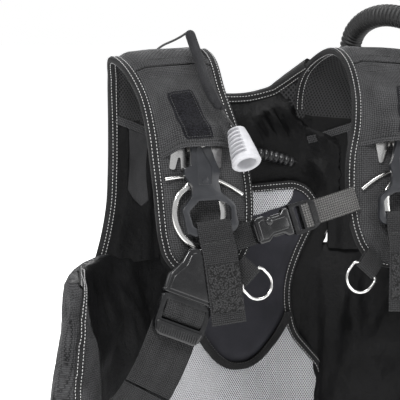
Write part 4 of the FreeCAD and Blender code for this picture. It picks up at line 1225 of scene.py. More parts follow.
def edge_distance(points, outline):
    """Distance of each flat point from a closed outline."""
    starts, ends = outline, np.roll(outline, -1, 0)
    ways = ends - starts
    long = np.maximum(np.sum(ways * ways, 1), 1e-9)
    best = np.full(len(points), 1e9)
    for start, way, square in zip(starts, ways, long):
        part = np.clip(((points - start) @ way) / square, 0, 1)
        best = np.minimum(best, np.linalg.norm(points - start - part[:, None] * way, axis=1))
    return best


def even_outline(points, spacing):
    """A closed flat outline's points, spread evenly."""
    closed = np.vstack([points, points[:1]])
    run = run_length(np.hstack([closed, np.zeros((len(closed), 1))]))
    count = int(run[-1] / spacing)
    at = np.arange(count) * run[-1] / count
    return sampled(closed, run, at)


def fill(outline, spacing):
    """Triangles over a closed flat outline. Returns its points, faces, and how many points are the outline's."""
    outline = even_outline(np.asarray(outline, float), spacing)
    low, high = outline.min(0), outline.max(0)
    lattice = []
    for row, z in enumerate(np.arange(low[1] + spacing / 2, high[1], spacing * 0.87)):
        offset = spacing / 2 * (row % 2)
        lattice += [(x, z) for x in np.arange(low[0] + offset, high[0], spacing)]
    lattice = np.array(lattice)
    after = np.roll(outline, -1, 0)
    inside = np.zeros(len(lattice), bool)
    for (x0, z0), (x1, z1) in zip(outline, after):
        crosses = (z0 > lattice[:, 1]) != (z1 > lattice[:, 1])
        if z1 != z0:
            inside ^= crosses & (lattice[:, 0] < (x1 - x0) * (lattice[:, 1] - z0) / (z1 - z0) + x0)
    lattice = lattice[inside]
    lattice = lattice[edge_distance(lattice, outline) > spacing * 0.45]
    points = [Vector(point) for point in np.vstack([outline, lattice])]
    count = len(outline)
    edges = [(index, (index + 1) % count) for index in range(count)]
    verts, _, faces, _, _, _ = delaunay_2d_cdt(points, edges, [], 1, 1e-5)
    return np.array([tuple(point) for point in verts]), [tuple(face) for face in faces], outline


def cushion(outline, front, rear, spacing=4.0, rim=5.0):
    """A closed panel: `front` and `rear` give y from x, z and the distance to the edge; its rim is rounded."""
    flat, faces, edge = fill(outline, spacing)
    depth = edge_distance(flat, edge)
    x, z = flat[:, 0], flat[:, 1]
    ahead, behind = front(x, z, depth), rear(x, z, depth)
    middle = (ahead + behind) / 2
    full = np.sqrt(np.clip(1 - (1 - np.clip(depth / rim, 0, 1)) ** 2, 0, 1))
    ahead = middle + (ahead - middle) * full
    behind = middle + (behind - middle) * full
    count = len(flat)
    border = {(face[index - 1], face[index]) for face in faces for index in range(len(face))}
    loose = {a for a, b in border if (b, a) not in border} | {b for a, b in border if (b, a) not in border}
    front_points = np.stack([x, ahead, z], 1)
    rear_index = np.arange(count)
    keep = np.array([index not in loose for index in range(count)])
    rear_index[keep] = count + np.arange(keep.sum())
    points = np.vstack([front_points, np.stack([x, behind, z], 1)[keep]])
    all_faces = [face[::-1] for face in faces] + [tuple(rear_index[index] for index in face)
                                                  for face in faces]
    cloth = np.stack([points[:, 0], points[:, 2], np.zeros(len(points))], 1)
    return (points, all_faces), cloth


def mirror_outline(half):
    """A closed outline from the points of its +X half, listed from the bottom to the top."""
    return np.array(half + [(-x, z) for x, z in half[::-1] if abs(x) > 0.01])


def smooth_outline(points, count=240):
    """A closed flat outline, rounded into a smooth one."""
    flat = smooth(np.hstack([points, np.zeros((len(points), 1))]), count, True)
    return flat[:, :2]


def panel_edge(outline, ahead, middle_z):
    """Edge of a wrapped panel: its path, its direction inwards and its outward normal."""
    edge = even_outline(outline, 2.2)
    path = np.stack([edge[:, 0], -(ahead + wrap(edge[:, 0])), edge[:, 1]], 1)
    slope = 2 * WRAP_DEEP * path[:, 0] / WRAP_AT ** 2
    normals = unit(np.stack([-slope, -np.ones(len(path)), np.zeros(len(path))], 1))
    inward = unit(np.cross(normals, tangents(path, True)))
    inward *= np.sign(np.sum(inward * (vec(0, -LINING_FRONT, middle_z) - path), 1).mean())
    return path, inward, normals


# ---------------------------------------------------------------- back of the vest
LINING_FRONT = 150
HOURGLASS = [(0, -190), (60, -190), (92, -176), (97, -120), (101, -60), (98, -24), (83, -4), (69.5, 14),
             (63.5, 36),
             (61.5, 58), (63.5, 77), (72, 105), (84, 133), (91.5, 152), (90, 168), (80, 182), (66, 188.5),
             (48, 188),
             (20, 186), (0, 185.5)]


def folds(x, z, rows):
    """Soft creases: each row is a start, an end, a height and a width, all on the flat panel."""
    total = np.zeros_like(x)
    for (x0, z0), (x1, z1), height, wide in rows:
        way = vec(x1 - x0, z1 - z0)
        long = np.linalg.norm(way)
        way /= long
        along = (x - x0) * way[0] + (z - z0) * way[1]
        aside = -(x - x0) * way[1] + (z - z0) * way[0]
        bend = aside - 0.0025 * along * (long - along)
        shape = np.exp(-(bend / wide) ** 2) - 0.45 * np.exp(-((bend - 1.9 * wide) / (1.2 * wide)) ** 2)
        total += height * shape * ease((along + 0.15 * long) / (0.4 * long)) * ease((1.15 * long
                                                                                     - along) / (0.4 * long))
    return total


NECK_FOLDS = [((24, 268), (42, 240), 5.5, 3.4), ((34, 274), (60, 236), 6.0, 3.8),
              ((46, 280), (76, 246), 5.0, 4.6),
              ((16, 258), (30, 232), 4.0, 4.0), ((62, 262), (108, 226), 6.0, 6.0),
              ((-30, 268), (-52, 236), 5.0, 5.0),
              ((-46, 262), (-84, 226), 5.0, 6.0), ((80, 215), (106, 176), 5.0, 7.0),
              ((-80, 215), (-104, 178), 5.0, 7.0)]


def lean(x, z):
    """How far the cell's upper corners reach forward, along the straps' inner edges."""
    return 0.42 * np.maximum(z - 262, 0) * ease((np.abs(x) - 46) / 16)


def make_air_cell():
    """The air cell behind the wearer's back: coated nylon, with air mesh at its upper corners."""
    half = [(0, -235), (90, -235), (99, -222), (100, -60), (101, 60), (103, 112), (110, 150), (116, 196),
            (113, 236),
            (104, 258), (90, 276), (82, 294), (77, 312), (67, 320), (57, 311), (46, 297.5), (34, 292),
            (16, 287.8),
            (0, 287)]
    outline = mirror_outline(half)

    def front(x, z, depth):
        proud = 13 * ease((np.abs(x) - 74) / 26) * ease((z - 150) / 35)
        full = 2.5 * ease(depth / 30) * ease((z - 186) / 20)
        tapered = 8 * (1 - ease(depth / 24)) * ease((z - 236) / 22)
        crease = folds(x, z, NECK_FOLDS) * ease(depth / 9)
        return -(143.5 + wrap(x) + proud + full + lean(x, z) - tapered + crease)

    def rear(x, z, depth):
        tucked = 22 * ease((np.abs(x) - 50) / 20) * ease((z - 112) / 30)
        return -(115 + wrap(x) + tucked + lean(x, z)) - 0.5 * ease((30 - depth) / 30)

    shape, cloth = cushion(outline, front, rear, 4.5, 6)
    lined = []
    for face in shape[1]:
        x, _, z = shape[0][list(face)].mean(0)
        lined.append(int(z > 258 and abs(x) > 50 and z > 288 - 1.37 * (abs(x) - 53.8)))
    cell = piece("air_cell_shell", (shape[0], shape[1], lined), [SATIN, AIR_MESH],
                 stands_for="air_cell",
                 cloth=cloth)


def make_lining():
    """Light mesh panel on the air cell, hourglass-shaped, with a bound and stitched edge."""
    outline = smooth_outline(mirror_outline(HOURGLASS), 260)

    def wrapped(ahead):
        return lambda x, z, depth: -(ahead + wrap(x))

    shape, cloth = cushion(outline, wrapped(LINING_FRONT - 0.6), wrapped(LINING_FRONT - 3.8), 4.5, 3)
    shape = (shape[0] + np.outer(wavy(shape[0], 26, 0.9, 5.0), (0, 1, 0)), shape[1])
    lining = piece("lining_mesh", shape, LIGHT_MESH, stands_for="mesh_lining", cloth=cloth)

    path, inward, normals = panel_edge(outline, LINING_FRONT - 2, 60)
    edge_tape("lining_binding", path, inward, normals, 8.5, 3.6, closed=True)
    rows = []
    for depth in (1.6, 6.9):
        line = path + depth * inward + 3.7 * normals
        rows.append(stitches(np.vstack([line, line[:1]]), np.vstack([normals, normals[:1]])))
    piece("lining_stitches", combine(rows), WHITE_THREAD, turn=False)


TONGUE = [(0, -27), (12, -25.5), (24, -19), (41, -1), (54, 19), (60.5, 33), (60, 58), (62, 77), (70.5, 105),
          (82.5, 133),
          (89, 152), (87, 167), (78, 179), (69, 184), (64.5, 180), (62.5, 171), (57, 163), (49, 159.5),
          (38, 156.5),
          (28, 152.5), (14, 150), (0, 149.5)]


def make_back_pad():
    """Slate foam pad on the lining, tongue-shaped, with a bound foot."""
    outline = smooth_outline(mirror_outline(TONGUE), 240)

    def front(x, z, depth):
        return -(LINING_FRONT + 0.2 + wrap(x) + 7.5 * ease((depth - 6) / 15) + 1.5 * ease(depth / 45))

    def rear(x, z, depth):
        return -(LINING_FRONT - 0.4 + wrap(x))

    shape, cloth = cushion(outline, front, rear, 4.0, 4)
    pad = piece("back_pad_foam", shape, SLATE_FOAM, stands_for="back_pad", cloth=cloth)
    path, inward, normals = panel_edge(outline, LINING_FRONT + 2.6, 70)
    lower = path[:, 2] < 40
    order = np.roll(np.arange(len(path)), -int(np.argmax(~lower & np.roll(lower, -1))) - 1)
    order = [index for index in order if lower[index]]
    edge_tape("back_pad_binding", path[order], inward[order], normals[order], 8.0, 2.6)
    line = (path + 7.4 * inward + 2.9 * normals)[order]
    piece("back_pad_stitches", stitches(line, normals[order], 3.2, 2.3, 0.8, 0.4), BLACK_THREAD,
          turn=False)


def make_neck_binding():
    """Bound top edge of the back: along the nape, then up to each strap's inner edge."""
    half = [(0, -134, 289), (16, -134.5, 289.8), (32, -136, 293), (43, -140, 297), (49, -147, 303),
            (55.5, -162, 312), (61, -178, 320.5), (64, -190, 326)]
    points = np.array([(-x, y, z) for x, y, z in half[:0:-1]] + half, float)
    path = smooth(points, 150)
    ways = tangents(path)
    back = vec(0, 1, 0.1)
    inward = unit(np.cross(ways, unit(back - ways * (ways @ back)[:, None])))
    inward *= -np.sign(inward[:, 2].mean())
    normals = unit(np.cross(inward, ways))
    normals *= np.sign(-normals[:, 1].mean())
    edge_tape("neck_binding", path, inward, normals, 9, 6.5)
    rows = [stitches(path + depth * inward + face * 6.6 * normals, face * normals)
            for face in (1, -1) for depth in STITCH_DEPTHS]
    piece("neck_stitches", combine(rows), WHITE_THREAD, turn=False)


# ---------------------------------------------------------------- side lobes
LOBE_ROWS, LOBE_COLUMNS = 64, 72


def lobe_shape(side):
    """The lobe's smooth body and its centre line: a tall rounded section swept round the trunk."""
    spine = np.array([(56, 134, 7, -226, 112), (80, 146, 12, -232, 118), (104, 160, 15, -236, 122),
                      (150, 190, 20, -238, 124), (196, 232, 22, -238, 124), (226, 282, 20, -228, 120),
                      (238, 324, 14, -190, 112), (242, 338, 9, -165, 100), (243, 345, 3, -140, 84)], float)
    keyed = np.hstack([spine[:, :2] * (side, -1), np.zeros((len(spine), 1)), spine[:, 2:]])
    line = smooth(keyed, LOBE_ROWS)
    ways = tangents(line[:, :3])
    out = np.cross(ways, vec(0, 0, 1)) * -side
    rows = []
    for place, outward, (half, low, high) in zip(line[:, :3], out, line[:, 3:6]):
        angles = (np.arange(LOBE_COLUMNS) + 0.5) * 2 * math.pi / LOBE_COLUMNS
        aside = half * np.sign(np.cos(angles)) * np.abs(np.cos(angles)) ** 0.8
        tall = (high - low) / 2
        round_once = np.linspace(0, 2 * math.pi, 181)
        z = (high + low) / 2 + tall * np.interp(angles, round_once, np.clip(1.28 * np.sin(round_once), -1, 1))
        squeeze = np.sqrt(np.clip(1 - (np.abs(z - (high + low) / 2) / tall) ** 8, 0, 1))
        rows.append(place + outward * (aside * np.maximum(squeeze, 0.12))[:, None] + np.outer(z, (0, 0, 1)))
    return loft(rows), line


def pillow(obj, cap, pressure, voxel, frames, pinned):
    """Blows a closed cloth shape up a little by simulation, and moves no point further than the cap."""
    scene = bpy.context.scene
    mesh = obj.data
    bpy.context.view_layer.objects.active = obj
    modifier = obj.modifiers.new("remesh", "REMESH")
    modifier.mode = "VOXEL"
    modifier.voxel_size = voxel * MM
    graph = bpy.context.evaluated_depsgraph_get()
    fine = bpy.data.meshes.new_from_object(obj.evaluated_get(graph))
    obj.modifiers.clear()
    materials = list(mesh.materials)
    obj.data = fine
    before = mesh_shape(fine)[0]
    group = obj.vertex_groups.new(name="pin")
    for index in np.flatnonzero(pinned(before)):
        group.add([int(index)], 1.0, "REPLACE")
    cloth = obj.modifiers.new("cloth", "CLOTH")
    cloth.settings.use_pressure = True
    cloth.settings.uniform_pressure_force = pressure
    cloth.settings.effector_weights.gravity = 0
    cloth.settings.quality = 4
    cloth.settings.mass = 0.3
    cloth.settings.tension_stiffness = 12
    cloth.settings.bending_stiffness = 0.6
    cloth.settings.vertex_group_mass = "pin"
    cloth.collision_settings.use_collision = False
    cloth.collision_settings.use_self_collision = False
    for frame_number in range(1, frames + 1):
        scene.frame_set(frame_number)
    graph = bpy.context.evaluated_depsgraph_get()
    blown = bpy.data.meshes.new_from_object(obj.evaluated_get(graph))
    after = mesh_shape(blown)[0]
    bpy.data.meshes.remove(blown)
    obj.modifiers.clear()
    scene.frame_set(1)
    obj.vertex_groups.clear()
    step = after - before
    long = np.linalg.norm(step, axis=1, keepdims=True)
    held = before + step * np.minimum(1, cap / np.maximum(long, 1e-6))
    fine.vertices.foreach_set("co", (held * MM).ravel())
    fine.materials.clear()
    for material in materials:
        fine.materials.append(material)
    fine.shade_smooth()


def split_faces(obj, choose):
    """Sets each face's material from its centre, in millimetres."""
    mesh = obj.data
    centres = np.zeros(len(mesh.polygons) * 3)
    mesh.polygons.foreach_get("center", centres)
    mesh.polygons.foreach_set("material_index", choose(centres.reshape(-1, 3) / MM).astype(np.int32))


LOBE_FOLDS = [((-150, 150), (-205, 96), 5.0, 7), ((-140, 118), (-190, 60), 6.0, 8),
              ((-170, 60), (-215, 20), 4.5, 8),
              ((-120, 40), (-175, 0), 5.0, 9), ((-150, -20), (-220, -60), 5.0, 10),
              ((-130, 90), (-160, 20), 4.0, 6),
              ((-205, 110), (-226, 40), 3.0, 6), ((-180, -90), (-225, -140), 5.0, 11),
              ((-125, -90), (-180, -150), 5, 10)]


def make_lobes():
    """Side lobes: creased, blown up a little, satin inside and Cordura outside."""
    for side in (RIGHT, LEFT):
        name = SIDE[side]
        shape, line = lobe_shape(side)
        points = np.asarray(shape[0])
        middle = np.repeat(line[:, :3], LOBE_COLUMNS, axis=0)
        away = points - middle
        away[:, 2] = 0
        away = away / np.maximum(np.linalg.norm(away, axis=1, keepdims=True), 1e-6)
        crease = folds(-np.abs(points[:, 0]), points[:, 2], LOBE_FOLDS)
        crease = crease + wavy(points, 60, 3.0, 20 + side, 0.7) + wavy(points, 22, 1.0, 30 + side, 0.6)
        calm = ease((np.abs(points[:, 0]) - 75) / 30)
        points = points + away * (crease * calm)[:, None]
        lobe = piece(name + "_lobe", (points, shape[1]), [SATIN, CORDURA_SOLID],
                     stands_for=name + "_air_lobe")
        pillow(lobe, 9.0, 3.0, 6.0, 16, pinned=lambda p: (np.abs(p[:, 0]) < 90) | (p[:, 2] > 112))
        spine = np.array([(56, -134), (104, -160), (150, -190), (196, -232), (226, -282), (240, -330),
                          (246, -360)])
        split_faces(lobe, lambda p: outer_part(p, spine))
        make_lobe_trim(side, lobe)


def outer_part(points, spine):
    """True where a point is outside the spine line or round the nose."""
    x, y = np.abs(points[:, 0]), points[:, 1]
    line = np.interp(x, spine[:, 0], spine[:, 1])
    return (y > line) | (y < -318)


def make_lobe_trim(side, lobe):
    """Bound seam down the lobe's front edge, with two rows of stitches."""
    name = SIDE[side]
    tree = surface_tree(lobe)
    seam = smooth(np.array([(side * x, -330, z) for x, z in
                            [(214, 122), (223, 112), (229, 96), (233, 76), (236, 50), (238, 20), (238, -20),
                             (236, -60),
                             (232, -110), (226, -150)]], float), 110)
    places, normals = lay_on(tree, seam, lift=0.9)
    ways = tangents(places)
    aside = unit(np.cross(normals, ways))
    tape, cloth = band(places, aside, 9, 1.6)
    piece(name + "_lobe_seam_tape", tape, BINDING, cloth=cloth)
    rows = [stitches(places + step * aside + 0.9 * normals, normals) for step in (-2.6, 2.6)]
    piece(name + "_lobe_stitches", combine(rows), WHITE_THREAD, turn=False)


make_air_cell()
make_lining()
make_back_pad()
make_neck_binding()
make_lobes()


# ---------------------------------------------------------------- cords, hose, sleeve and knob
def control_spline(name, route, radius):
    """A curve of one smooth NURBS spline with the route's points, in millimetres, as control points."""
    curve = bpy.data.curves.new(name, "CURVE")
    curve.dimensions = "3D"
    spline = curve.splines.new("NURBS")
    spline.points.add(len(route) - 1)
    for point, place in zip(spline.points, route):
        point.co = (*(np.asarray(place, float) * MM), 1)
    spline.order_u = 3
    spline.use_endpoint_u = True
    curve.resolution_u = 12
    curve.bevel_depth = radius * MM
    curve.bevel_resolution = 4
    curve.use_fill_caps = True
    return curve


def spline_line(name, route):
    """The points along the route's own spline, in millimetres."""
    curve = control_spline(name + "_line", route, 0)
    holder = bpy.data.objects.new(name + "_line", curve)
    bpy.context.scene.collection.objects.link(holder)
    mesh = bpy.data.meshes.new_from_object(holder.evaluated_get(bpy.context.evaluated_depsgraph_get()))
    points = mesh_shape(mesh)[0]
    bpy.data.objects.remove(holder)
    bpy.data.curves.remove(curve)
    bpy.data.meshes.remove(mesh)
    return points


CORD_RADIUS = 1.2


def make_cord(name, route, body, node):
    """A taut cord along the route's spline, standing for a CAD cord."""
    radius = CORD_RADIUS
    curve = control_spline(name, route, radius)
    curve.materials.append(CORD)
    cord = bpy.data.objects.new(name, curve)
    bpy.context.scene.collection.objects.link(cord)
    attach(cord, body)
    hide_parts(node)
    length = float(run_length(spline_line(name, route))[-1]) * MM
    tuple(np.asarray(route[0], float) * MM)


VALVE_CENTRE = vec(-119, -171, 245)
VALVE_WAY = unit(vec(-0.4, 0.9, 0.14))
SLEEVE_TOP = vec(-97.1, -262, 362)
SLEEVE_MOUTH = vec(-91, -338.5, 287.5)
KNOB_TIP = vec(-75.3, -343, 265.3)
PULL_WAY = unit(KNOB_TIP - SLEEVE_MOUTH)
SLEEVE_ELBOW = SLEEVE_MOUTH - PULL_WAY * 13
KNOB_WAY = unit(vec(0.052, -0.635, -0.771))
KNOB_LONG = 42
GROOVED_SIDE = unit(vec(-0.95, 0.33, 0))


def make_dump_sleeve():
    """Smooth black sleeve over the pull cord: closed and rounded at its top, hooked outwards at its mouth."""
    down = SLEEVE_ELBOW - SLEEVE_TOP
    line = smooth(np.array([SLEEVE_TOP, SLEEVE_TOP + down * 0.45, SLEEVE_TOP + down * 0.93,
                            SLEEVE_MOUTH - PULL_WAY * 5, SLEEVE_MOUTH]), 80)
    run = run_length(line)
    left = run[-1] - run
    radii = 5.3 * np.sqrt(np.clip(1 - (1 - np.clip(run / 7, 0, 1)) ** 2, 0.03, 1))
    radii = radii * (1 - 0.2 * ease((14 - left) / 14))
    shapes = [tube(line, radii, 24)]
    hook = smooth(np.array([SLEEVE_MOUTH - PULL_WAY * 6, SLEEVE_MOUTH,
                            SLEEVE_MOUTH + PULL_WAY * 2 + vec(3, -1, 1),
                            SLEEVE_MOUTH + vec(6, -1.5, 3)]), 16)
    shapes.append(tube(hook, np.linspace(3.2, 1.0, 16), 12))
    piece("dump_sleeve_tube", combine(shapes), SLEEVE_CLOTH, stands_for="dump_sleeve")


def make_dump_knob():
    """Hollow cone with seven grooves round the side away from the neck, and a thick rim at its foot."""
    outer = [(8 + 7 * (height / KNOB_LONG) ** 0.62, height)
             for height in np.arange(2.0, KNOB_LONG - 2.0, 0.45)]
    profile = [(0.0, 0.0), (4.2, 0.1), (6.4, 0.5), (7.6, 1.2)] + outer
    profile += [(15.0, KNOB_LONG - 1.9), (14.5, KNOB_LONG - 0.9), (13.4, KNOB_LONG - 0.2), (12.2, KNOB_LONG),
                (10.8, KNOB_LONG), (10.0, KNOB_LONG - 0.5), (9.6, KNOB_LONG - 2.5), (9.0, KNOB_LONG - 14),
                (7.0, 15.0), (3.0, 13.2), (0.0, 13.0)]
    side = unit(np.cross(KNOB_WAY, (0, 0, 1)))
    other = np.cross(KNOB_WAY, side)
    pitch = 4.7
    first = 3.0
    ways = circle(side, other, 64)
    rows = []
    for number, (radius, height) in enumerate(profile):
        reach = np.full(64, float(radius))
        outside = 3 < number < 3 + len(outer)
        if outside and first < height < first + 7 * pitch:
            phase = (height - first) / pitch
            cut = ease((0.5 - abs(phase % 1 - 0.5) - 0.1) / 0.12)
            reach -= 3.8 * cut * ease((ways @ GROOVED_SIDE + 0.1) / 0.16)
        rows.append(KNOB_TIP + KNOB_WAY * height + reach[:, None] * ways)
    knob = loft(rows)
    piece("dump_knob_cone", knob, KNOB_PLASTIC, "dump_knob", stands_for="dump_knob",
          crease=50)


HOSE_SEAT = vec(120.6, -185.8, 290.6)
HOSE_REAR = unit(vec(0.345, 0.87, 0.348))
HOSE_RADIUS = 12.4
HOSE_PITCH = 5.5


def make_hose():
    """Corrugated rubber hose from the elbow over the shoulder to the inflator."""
    head = HOSE_SEAT + HOSE_REAR * 27
    route = [head + vec(0, 0, 15), head + vec(0, 0, 48), vec(133, -190, 372), vec(145, -232, 381),
             vec(166, -278, 368), vec(188, -314, 336), vec(206, -338, 292), vec(220, -352, 244),
             vec(230, -358, 196), vec(230, -358, 150)]
    spline = spline_line("inflator_hose", route)
    run = run_length(spline)
    count = int(run[-1] / HOSE_PITCH) * 6
    at = np.linspace(0, run[-1], count)
    line = sampled(spline, run, at)
    ends = np.minimum(at, run[-1] - at)
    ribs = np.abs(np.sin(math.pi * at / HOSE_PITCH)) ** 0.7
    radii = np.where(ends < 12, HOSE_RADIUS, HOSE_RADIUS - 2.2 + 2.2 * ribs)
    hose = piece("corrugated_hose", tube(line, radii, 32), RUBBER, stands_for="inflator_hose")


# ---------------------------------------------------------------- carry handle
def make_handle():
    """Arched grip of soft rings on a webbing core, its ends sewn to the back under square tabs."""
    low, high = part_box("carry_handle_grip")
    centre_y = (low[1] + high[1]) / 2 / MM
    half, rise, radius = 66, 13, 7
    foot = low[2] / MM + 6.5
    bend = (half ** 2 + rise ** 2) / (2 * rise)
    turn = math.asin(half / bend)
    angles = np.linspace(-turn, turn, 230)
    line = np.stack([bend * np.sin(angles), np.full(230, centre_y),
                     foot + rise - bend * (1 - np.cos(angles))], 1)
    run = run_length(line)
    pitch = run[-1] / 21
    rings = np.abs(np.sin(math.pi * run / pitch)) ** 0.55
    radii = 4.6 + (radius - 4.7) * rings
    piece("handle_rings", tube(line, radii, 28), GRIP_RUBBER, stands_for="carry_handle_grip")
    shapes, cloths = [], []
    for side in (RIGHT, LEFT):
        start = line[0] if side == RIGHT else line[-1]
        route = np.array([start + vec(-side * 9, 0, 2.5), start + vec(0, 0.5, 0),
                          start + vec(side * 5.5, 2, -4),
                          start + vec(side * 9, 5, -12), start + vec(side * 9.5, 8, -19)])
        shape, cloth = band(smooth(route, 30), (0.1, -1, 0.4), 13, 2.0, 0.3, 2.2)
        shapes.append(shape)
        cloths.append(cloth)
    piece("handle_webbing", combine(shapes), WEBBING, stands_for="carry_handle_webbing",
          cloth=np.vstack(cloths))


# ---------------------------------------------------------------- chest and waist straps
CHEST_TURN = 14.5


CHEST_PLACE = (49.5, -44.6, 3, CHEST_TURN)


def strip(start, end, wide, out, sag=0.0, thick=1.6, rib=0.4, pitch=2.2):
    """Webbing along local X, sagging outwards between its ends."""
    count = max(12, int(abs(end - start) / 2))
    line = np.array([(x, 0, out + sag * math.sin(math.pi * (x - start) / (end - start)))
                     for x in np.linspace(start, end, count)])
    return band(line, (0, 1, 0), wide, thick, rib, pitch)


def make_chest_straps():
    """Plain webbing to the socket, and grey webbing from the plug, which rides on no body."""
    at = pad_matrix(RIGHT, *CHEST_PLACE)
    shape, cloth = strip(-40, 2, 25, -0.9)
    piece("chest_webbing_right", moved(shape, at), WEBBING, stands_for="chest_strap_right",
          cloth=cloth)
    shape, cloth = strip(57, 119, 25, -1.2, 2.2, thick=1.8, rib=0.5, pitch=2.9)
    webbing = piece("chest_webbing_left", moved(shape, at), GREY_WEBBING, body=None,
                    stands_for="chest_strap_left", cloth=cloth)
    start, end = [(at @ np.array([x, 0, 0, 1]))[:3] * MM for x in (70, 104)]
    tuple(start)
    tuple(end)
    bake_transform(webbing)
    loop = np.array([(56.5 + 5 * math.cos(a), 0, 5 + 5.6 * math.sin(a)) for a in np.linspace(-1.2, 3.9, 30)])
    shape, cloth = band(loop, (0, 1, 0), 25, 1.6, 0.4, 2.9)
    piece("chest_bar_wrap", moved(shape, at), GREY_WEBBING, "chest_buckle_male", cloth=cloth)


def make_chest_buckle():
    """Small side-release buckle: a domed socket with side windows and a stud, and a ribbed plug."""
    at = pad_matrix(RIGHT, *CHEST_PLACE)
    thick = 10
    shell = [(-3, -8), (0, -13.5, 3), (10, -13.5, 3), (15, -9.5, 4), (27, -9.5, 4), (32, -14, 3),
             (38, -14, 2),
             (38, 14, 2), (32, 14, 3), (27, 9.5, 4), (15, 9.5, 4), (10, 13.5, 3), (0, 13.5, 3), (-3, 8)]
    crown = [(2, -10), (9, -10), (15, -6.5), (34, -6.5), (34, 6.5), (15, 6.5), (9, 10), (2, 10)]
    bar = [(-1.5, -10), (3, -10), (3, 10), (-1.5, 10)]
    shapes = [plate([rounded(shell, 4)], 0, thick, 2.4, 4),
              plate([rounded(crown, 3)], 9, thick + 1.6, 1.2, 3),
              plate([rounded(bar, 1)], 8.5, thick + 2.0, 0.8, 2)]
    piece("chest_socket", moved(combine(shapes), at), GLOSS_PLASTIC,
          stands_for="chest_buckle_female", crease=30)
    profile = [(0, 2.6), (2.2, 2.5), (3.6, 1.8), (4.2, 0.6), (4.2, -0.6), (0, -0.6)]
    turned = circle(vec(0, 1, 0), vec(-1, 0, 0), 28)
    stud = loft([vec(0, 0, height) + radius * turned for radius, height in profile])
    placed = moved(moved(stud, rigid(0, 0, (14, 6.5, thick + 1.4))), at)
    piece("chest_stud", placed, GLOSS_PLASTIC)

    outline = [(39, -16, 2), (60, -15.5, 3), (68, -12, 4), (68, 12, 4), (60, 15.5, 3), (39, 16, 2)]
    near = [(44, -12.5), (50, -12.5), (50, 12.5), (44, 12.5)]
    far = [(54, -13), (60, -13), (60, 13), (54, 13)]
    arms = [(44, -11), (44, 11), (18, 11), (13, 8), (14, 6), (28, 7), (34, 3), (18, 2),
            (18, -2), (34, -3), (28, -7), (14, -6), (13, -8), (18, -11)]
    shapes = [plate([rounded(outline, 3), rounded(near, 1), rounded(far, 1)], 0.6, thick - 0.6, 1.8, 4),
              plate([rounded(arms, 0.8)], 2.5, 7.5, 0.6, 2)]
    shapes += ribs(62.3 + np.arange(4) * 1.5, 0.4, (-11, 11), 0.3, thick - 1.2, thick + 0.1, 0.3)
    piece("chest_plug", moved(combine(shapes), at), GLOSS_PLASTIC, "chest_buckle_male",
          stands_for="chest_buckle_male", crease=30)


WAIST_HEIGHT = -150


def make_waist():
    """Waist webbing from each lobe; the left one rides on no body."""
    for side in (RIGHT, LEFT):
        start = 34 if side == RIGHT else 20
        route = [(start, 379.5), (70, 379), (110, 374), (145, 366), (180, 354), (204, 345), (226, 336)]
        line = smooth(np.array([(side * x, -ahead, WAIST_HEIGHT) for x, ahead in route]), 90)
        shape, cloth = band(line, (0, 0, 1), 50, 2.0, 0.5, 2.3)
        name = SIDE[side] + "_waist_webbing"
        strap = piece(name, shape, WEBBING, body="vest" if side == RIGHT else None,
                      stands_for=SIDE[side] + "_waist_band", cloth=cloth)
        if side == LEFT:
            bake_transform(strap)


def make_waist_buckle():
    """Large side-release buckle, laid upright across the front."""
    base = rigid(math.pi / 2, 0, (-30, -374, WAIST_HEIGHT))
    shell = [(-8, -24), (0, -29, 4), (12, -29, 4), (16, -26, 3), (32, -26, 3), (36, -29, 3), (40, -29),
             (40, 29),
             (36, 29, 3), (32, 26, 3), (16, 26, 3), (12, 29, 4), (0, 29, 4), (-8, 24)]
    crown = [(0, -22), (33, -22), (36, -12), (36, 12), (33, 22), (0, 22), (-3, 12), (-3, -12)]
    shapes = [plate([rounded(shell, 5)], 0, 12, 3.0, 5), plate([rounded(crown, 6)], 11, 13.8, 1.4, 4)]
    piece("waist_socket", moved(combine(shapes), base), GLOSS_PLASTIC,
          stands_for="waist_buckle_female", crease=30)
    outline = [(41, -29), (68, -29, 5), (74, -20, 6), (74, 20, 6), (68, 29, 5), (41, 29)]
    slots = [[(45, -25), (51, -25), (51, 25), (45, 25)], [(56, -26), (63, -26), (63, 26), (56, 26)]]
    arms = [(46, -22), (46, 22), (18, 22), (12, 17), (14, 14), (28, 15), (34, 4), (16, 3),
            (16, -3), (34, -4), (28, -15), (14, -14), (12, -17), (18, -22)]
    shapes = [plate([rounded(outline, 4)] + [rounded(slot, 1.2) for slot in slots], 0.6, 11.4, 2.0, 4),
              plate([rounded(arms, 1)], 3, 9, 0.8, 2)]
    shapes += ribs(66 + np.arange(4) * 1.8, 0.5, (-18, 18), 0.4, 10.8, 12.2, 0.35)
    piece("waist_plug", moved(combine(shapes), base), GLOSS_PLASTIC, "waist_buckle_male",
          stands_for="waist_buckle_male", crease=30)


# ---------------------------------------------------------------- tank band and weights
BAND_RADIUS = 93.25


def make_tank_band():
    """Wide webbing round the tank, its ends meeting under the cam buckle."""
    low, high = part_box("cam_buckle_frame")
    start = math.atan2((low[1] + high[1]) / 2, (low[0] + high[0]) / 2)
    angles = start + np.linspace(0.01, 2 * math.pi - 0.01, 180)
    line = BAND_RADIUS * np.stack([np.cos(angles), np.sin(angles), np.zeros(180)], 1)
    shape, cloth = band(line, (0, 0, 1), 50, 2.4, 0.45, 2.3)
    piece("tank_webbing", shape, WEBBING, stands_for="tank_band", cloth=cloth)


WEIGHT_WIDE, WEIGHT_LONG, WEIGHT_TALL, WEIGHT_WALL = 36, 120, 120, 2.5
WEIGHT_AT, WEIGHT_TURN = vec(262, -333, -205), 14


def weight_matrix(side):
    """Placement of a weight sleeve, mirrored for the right side."""
    matrix = rigid(0, math.radians(WEIGHT_TURN), WEIGHT_AT)
    if side == RIGHT:
        matrix = np.diag([-1.0, 1, 1, 1]) @ matrix
    return matrix


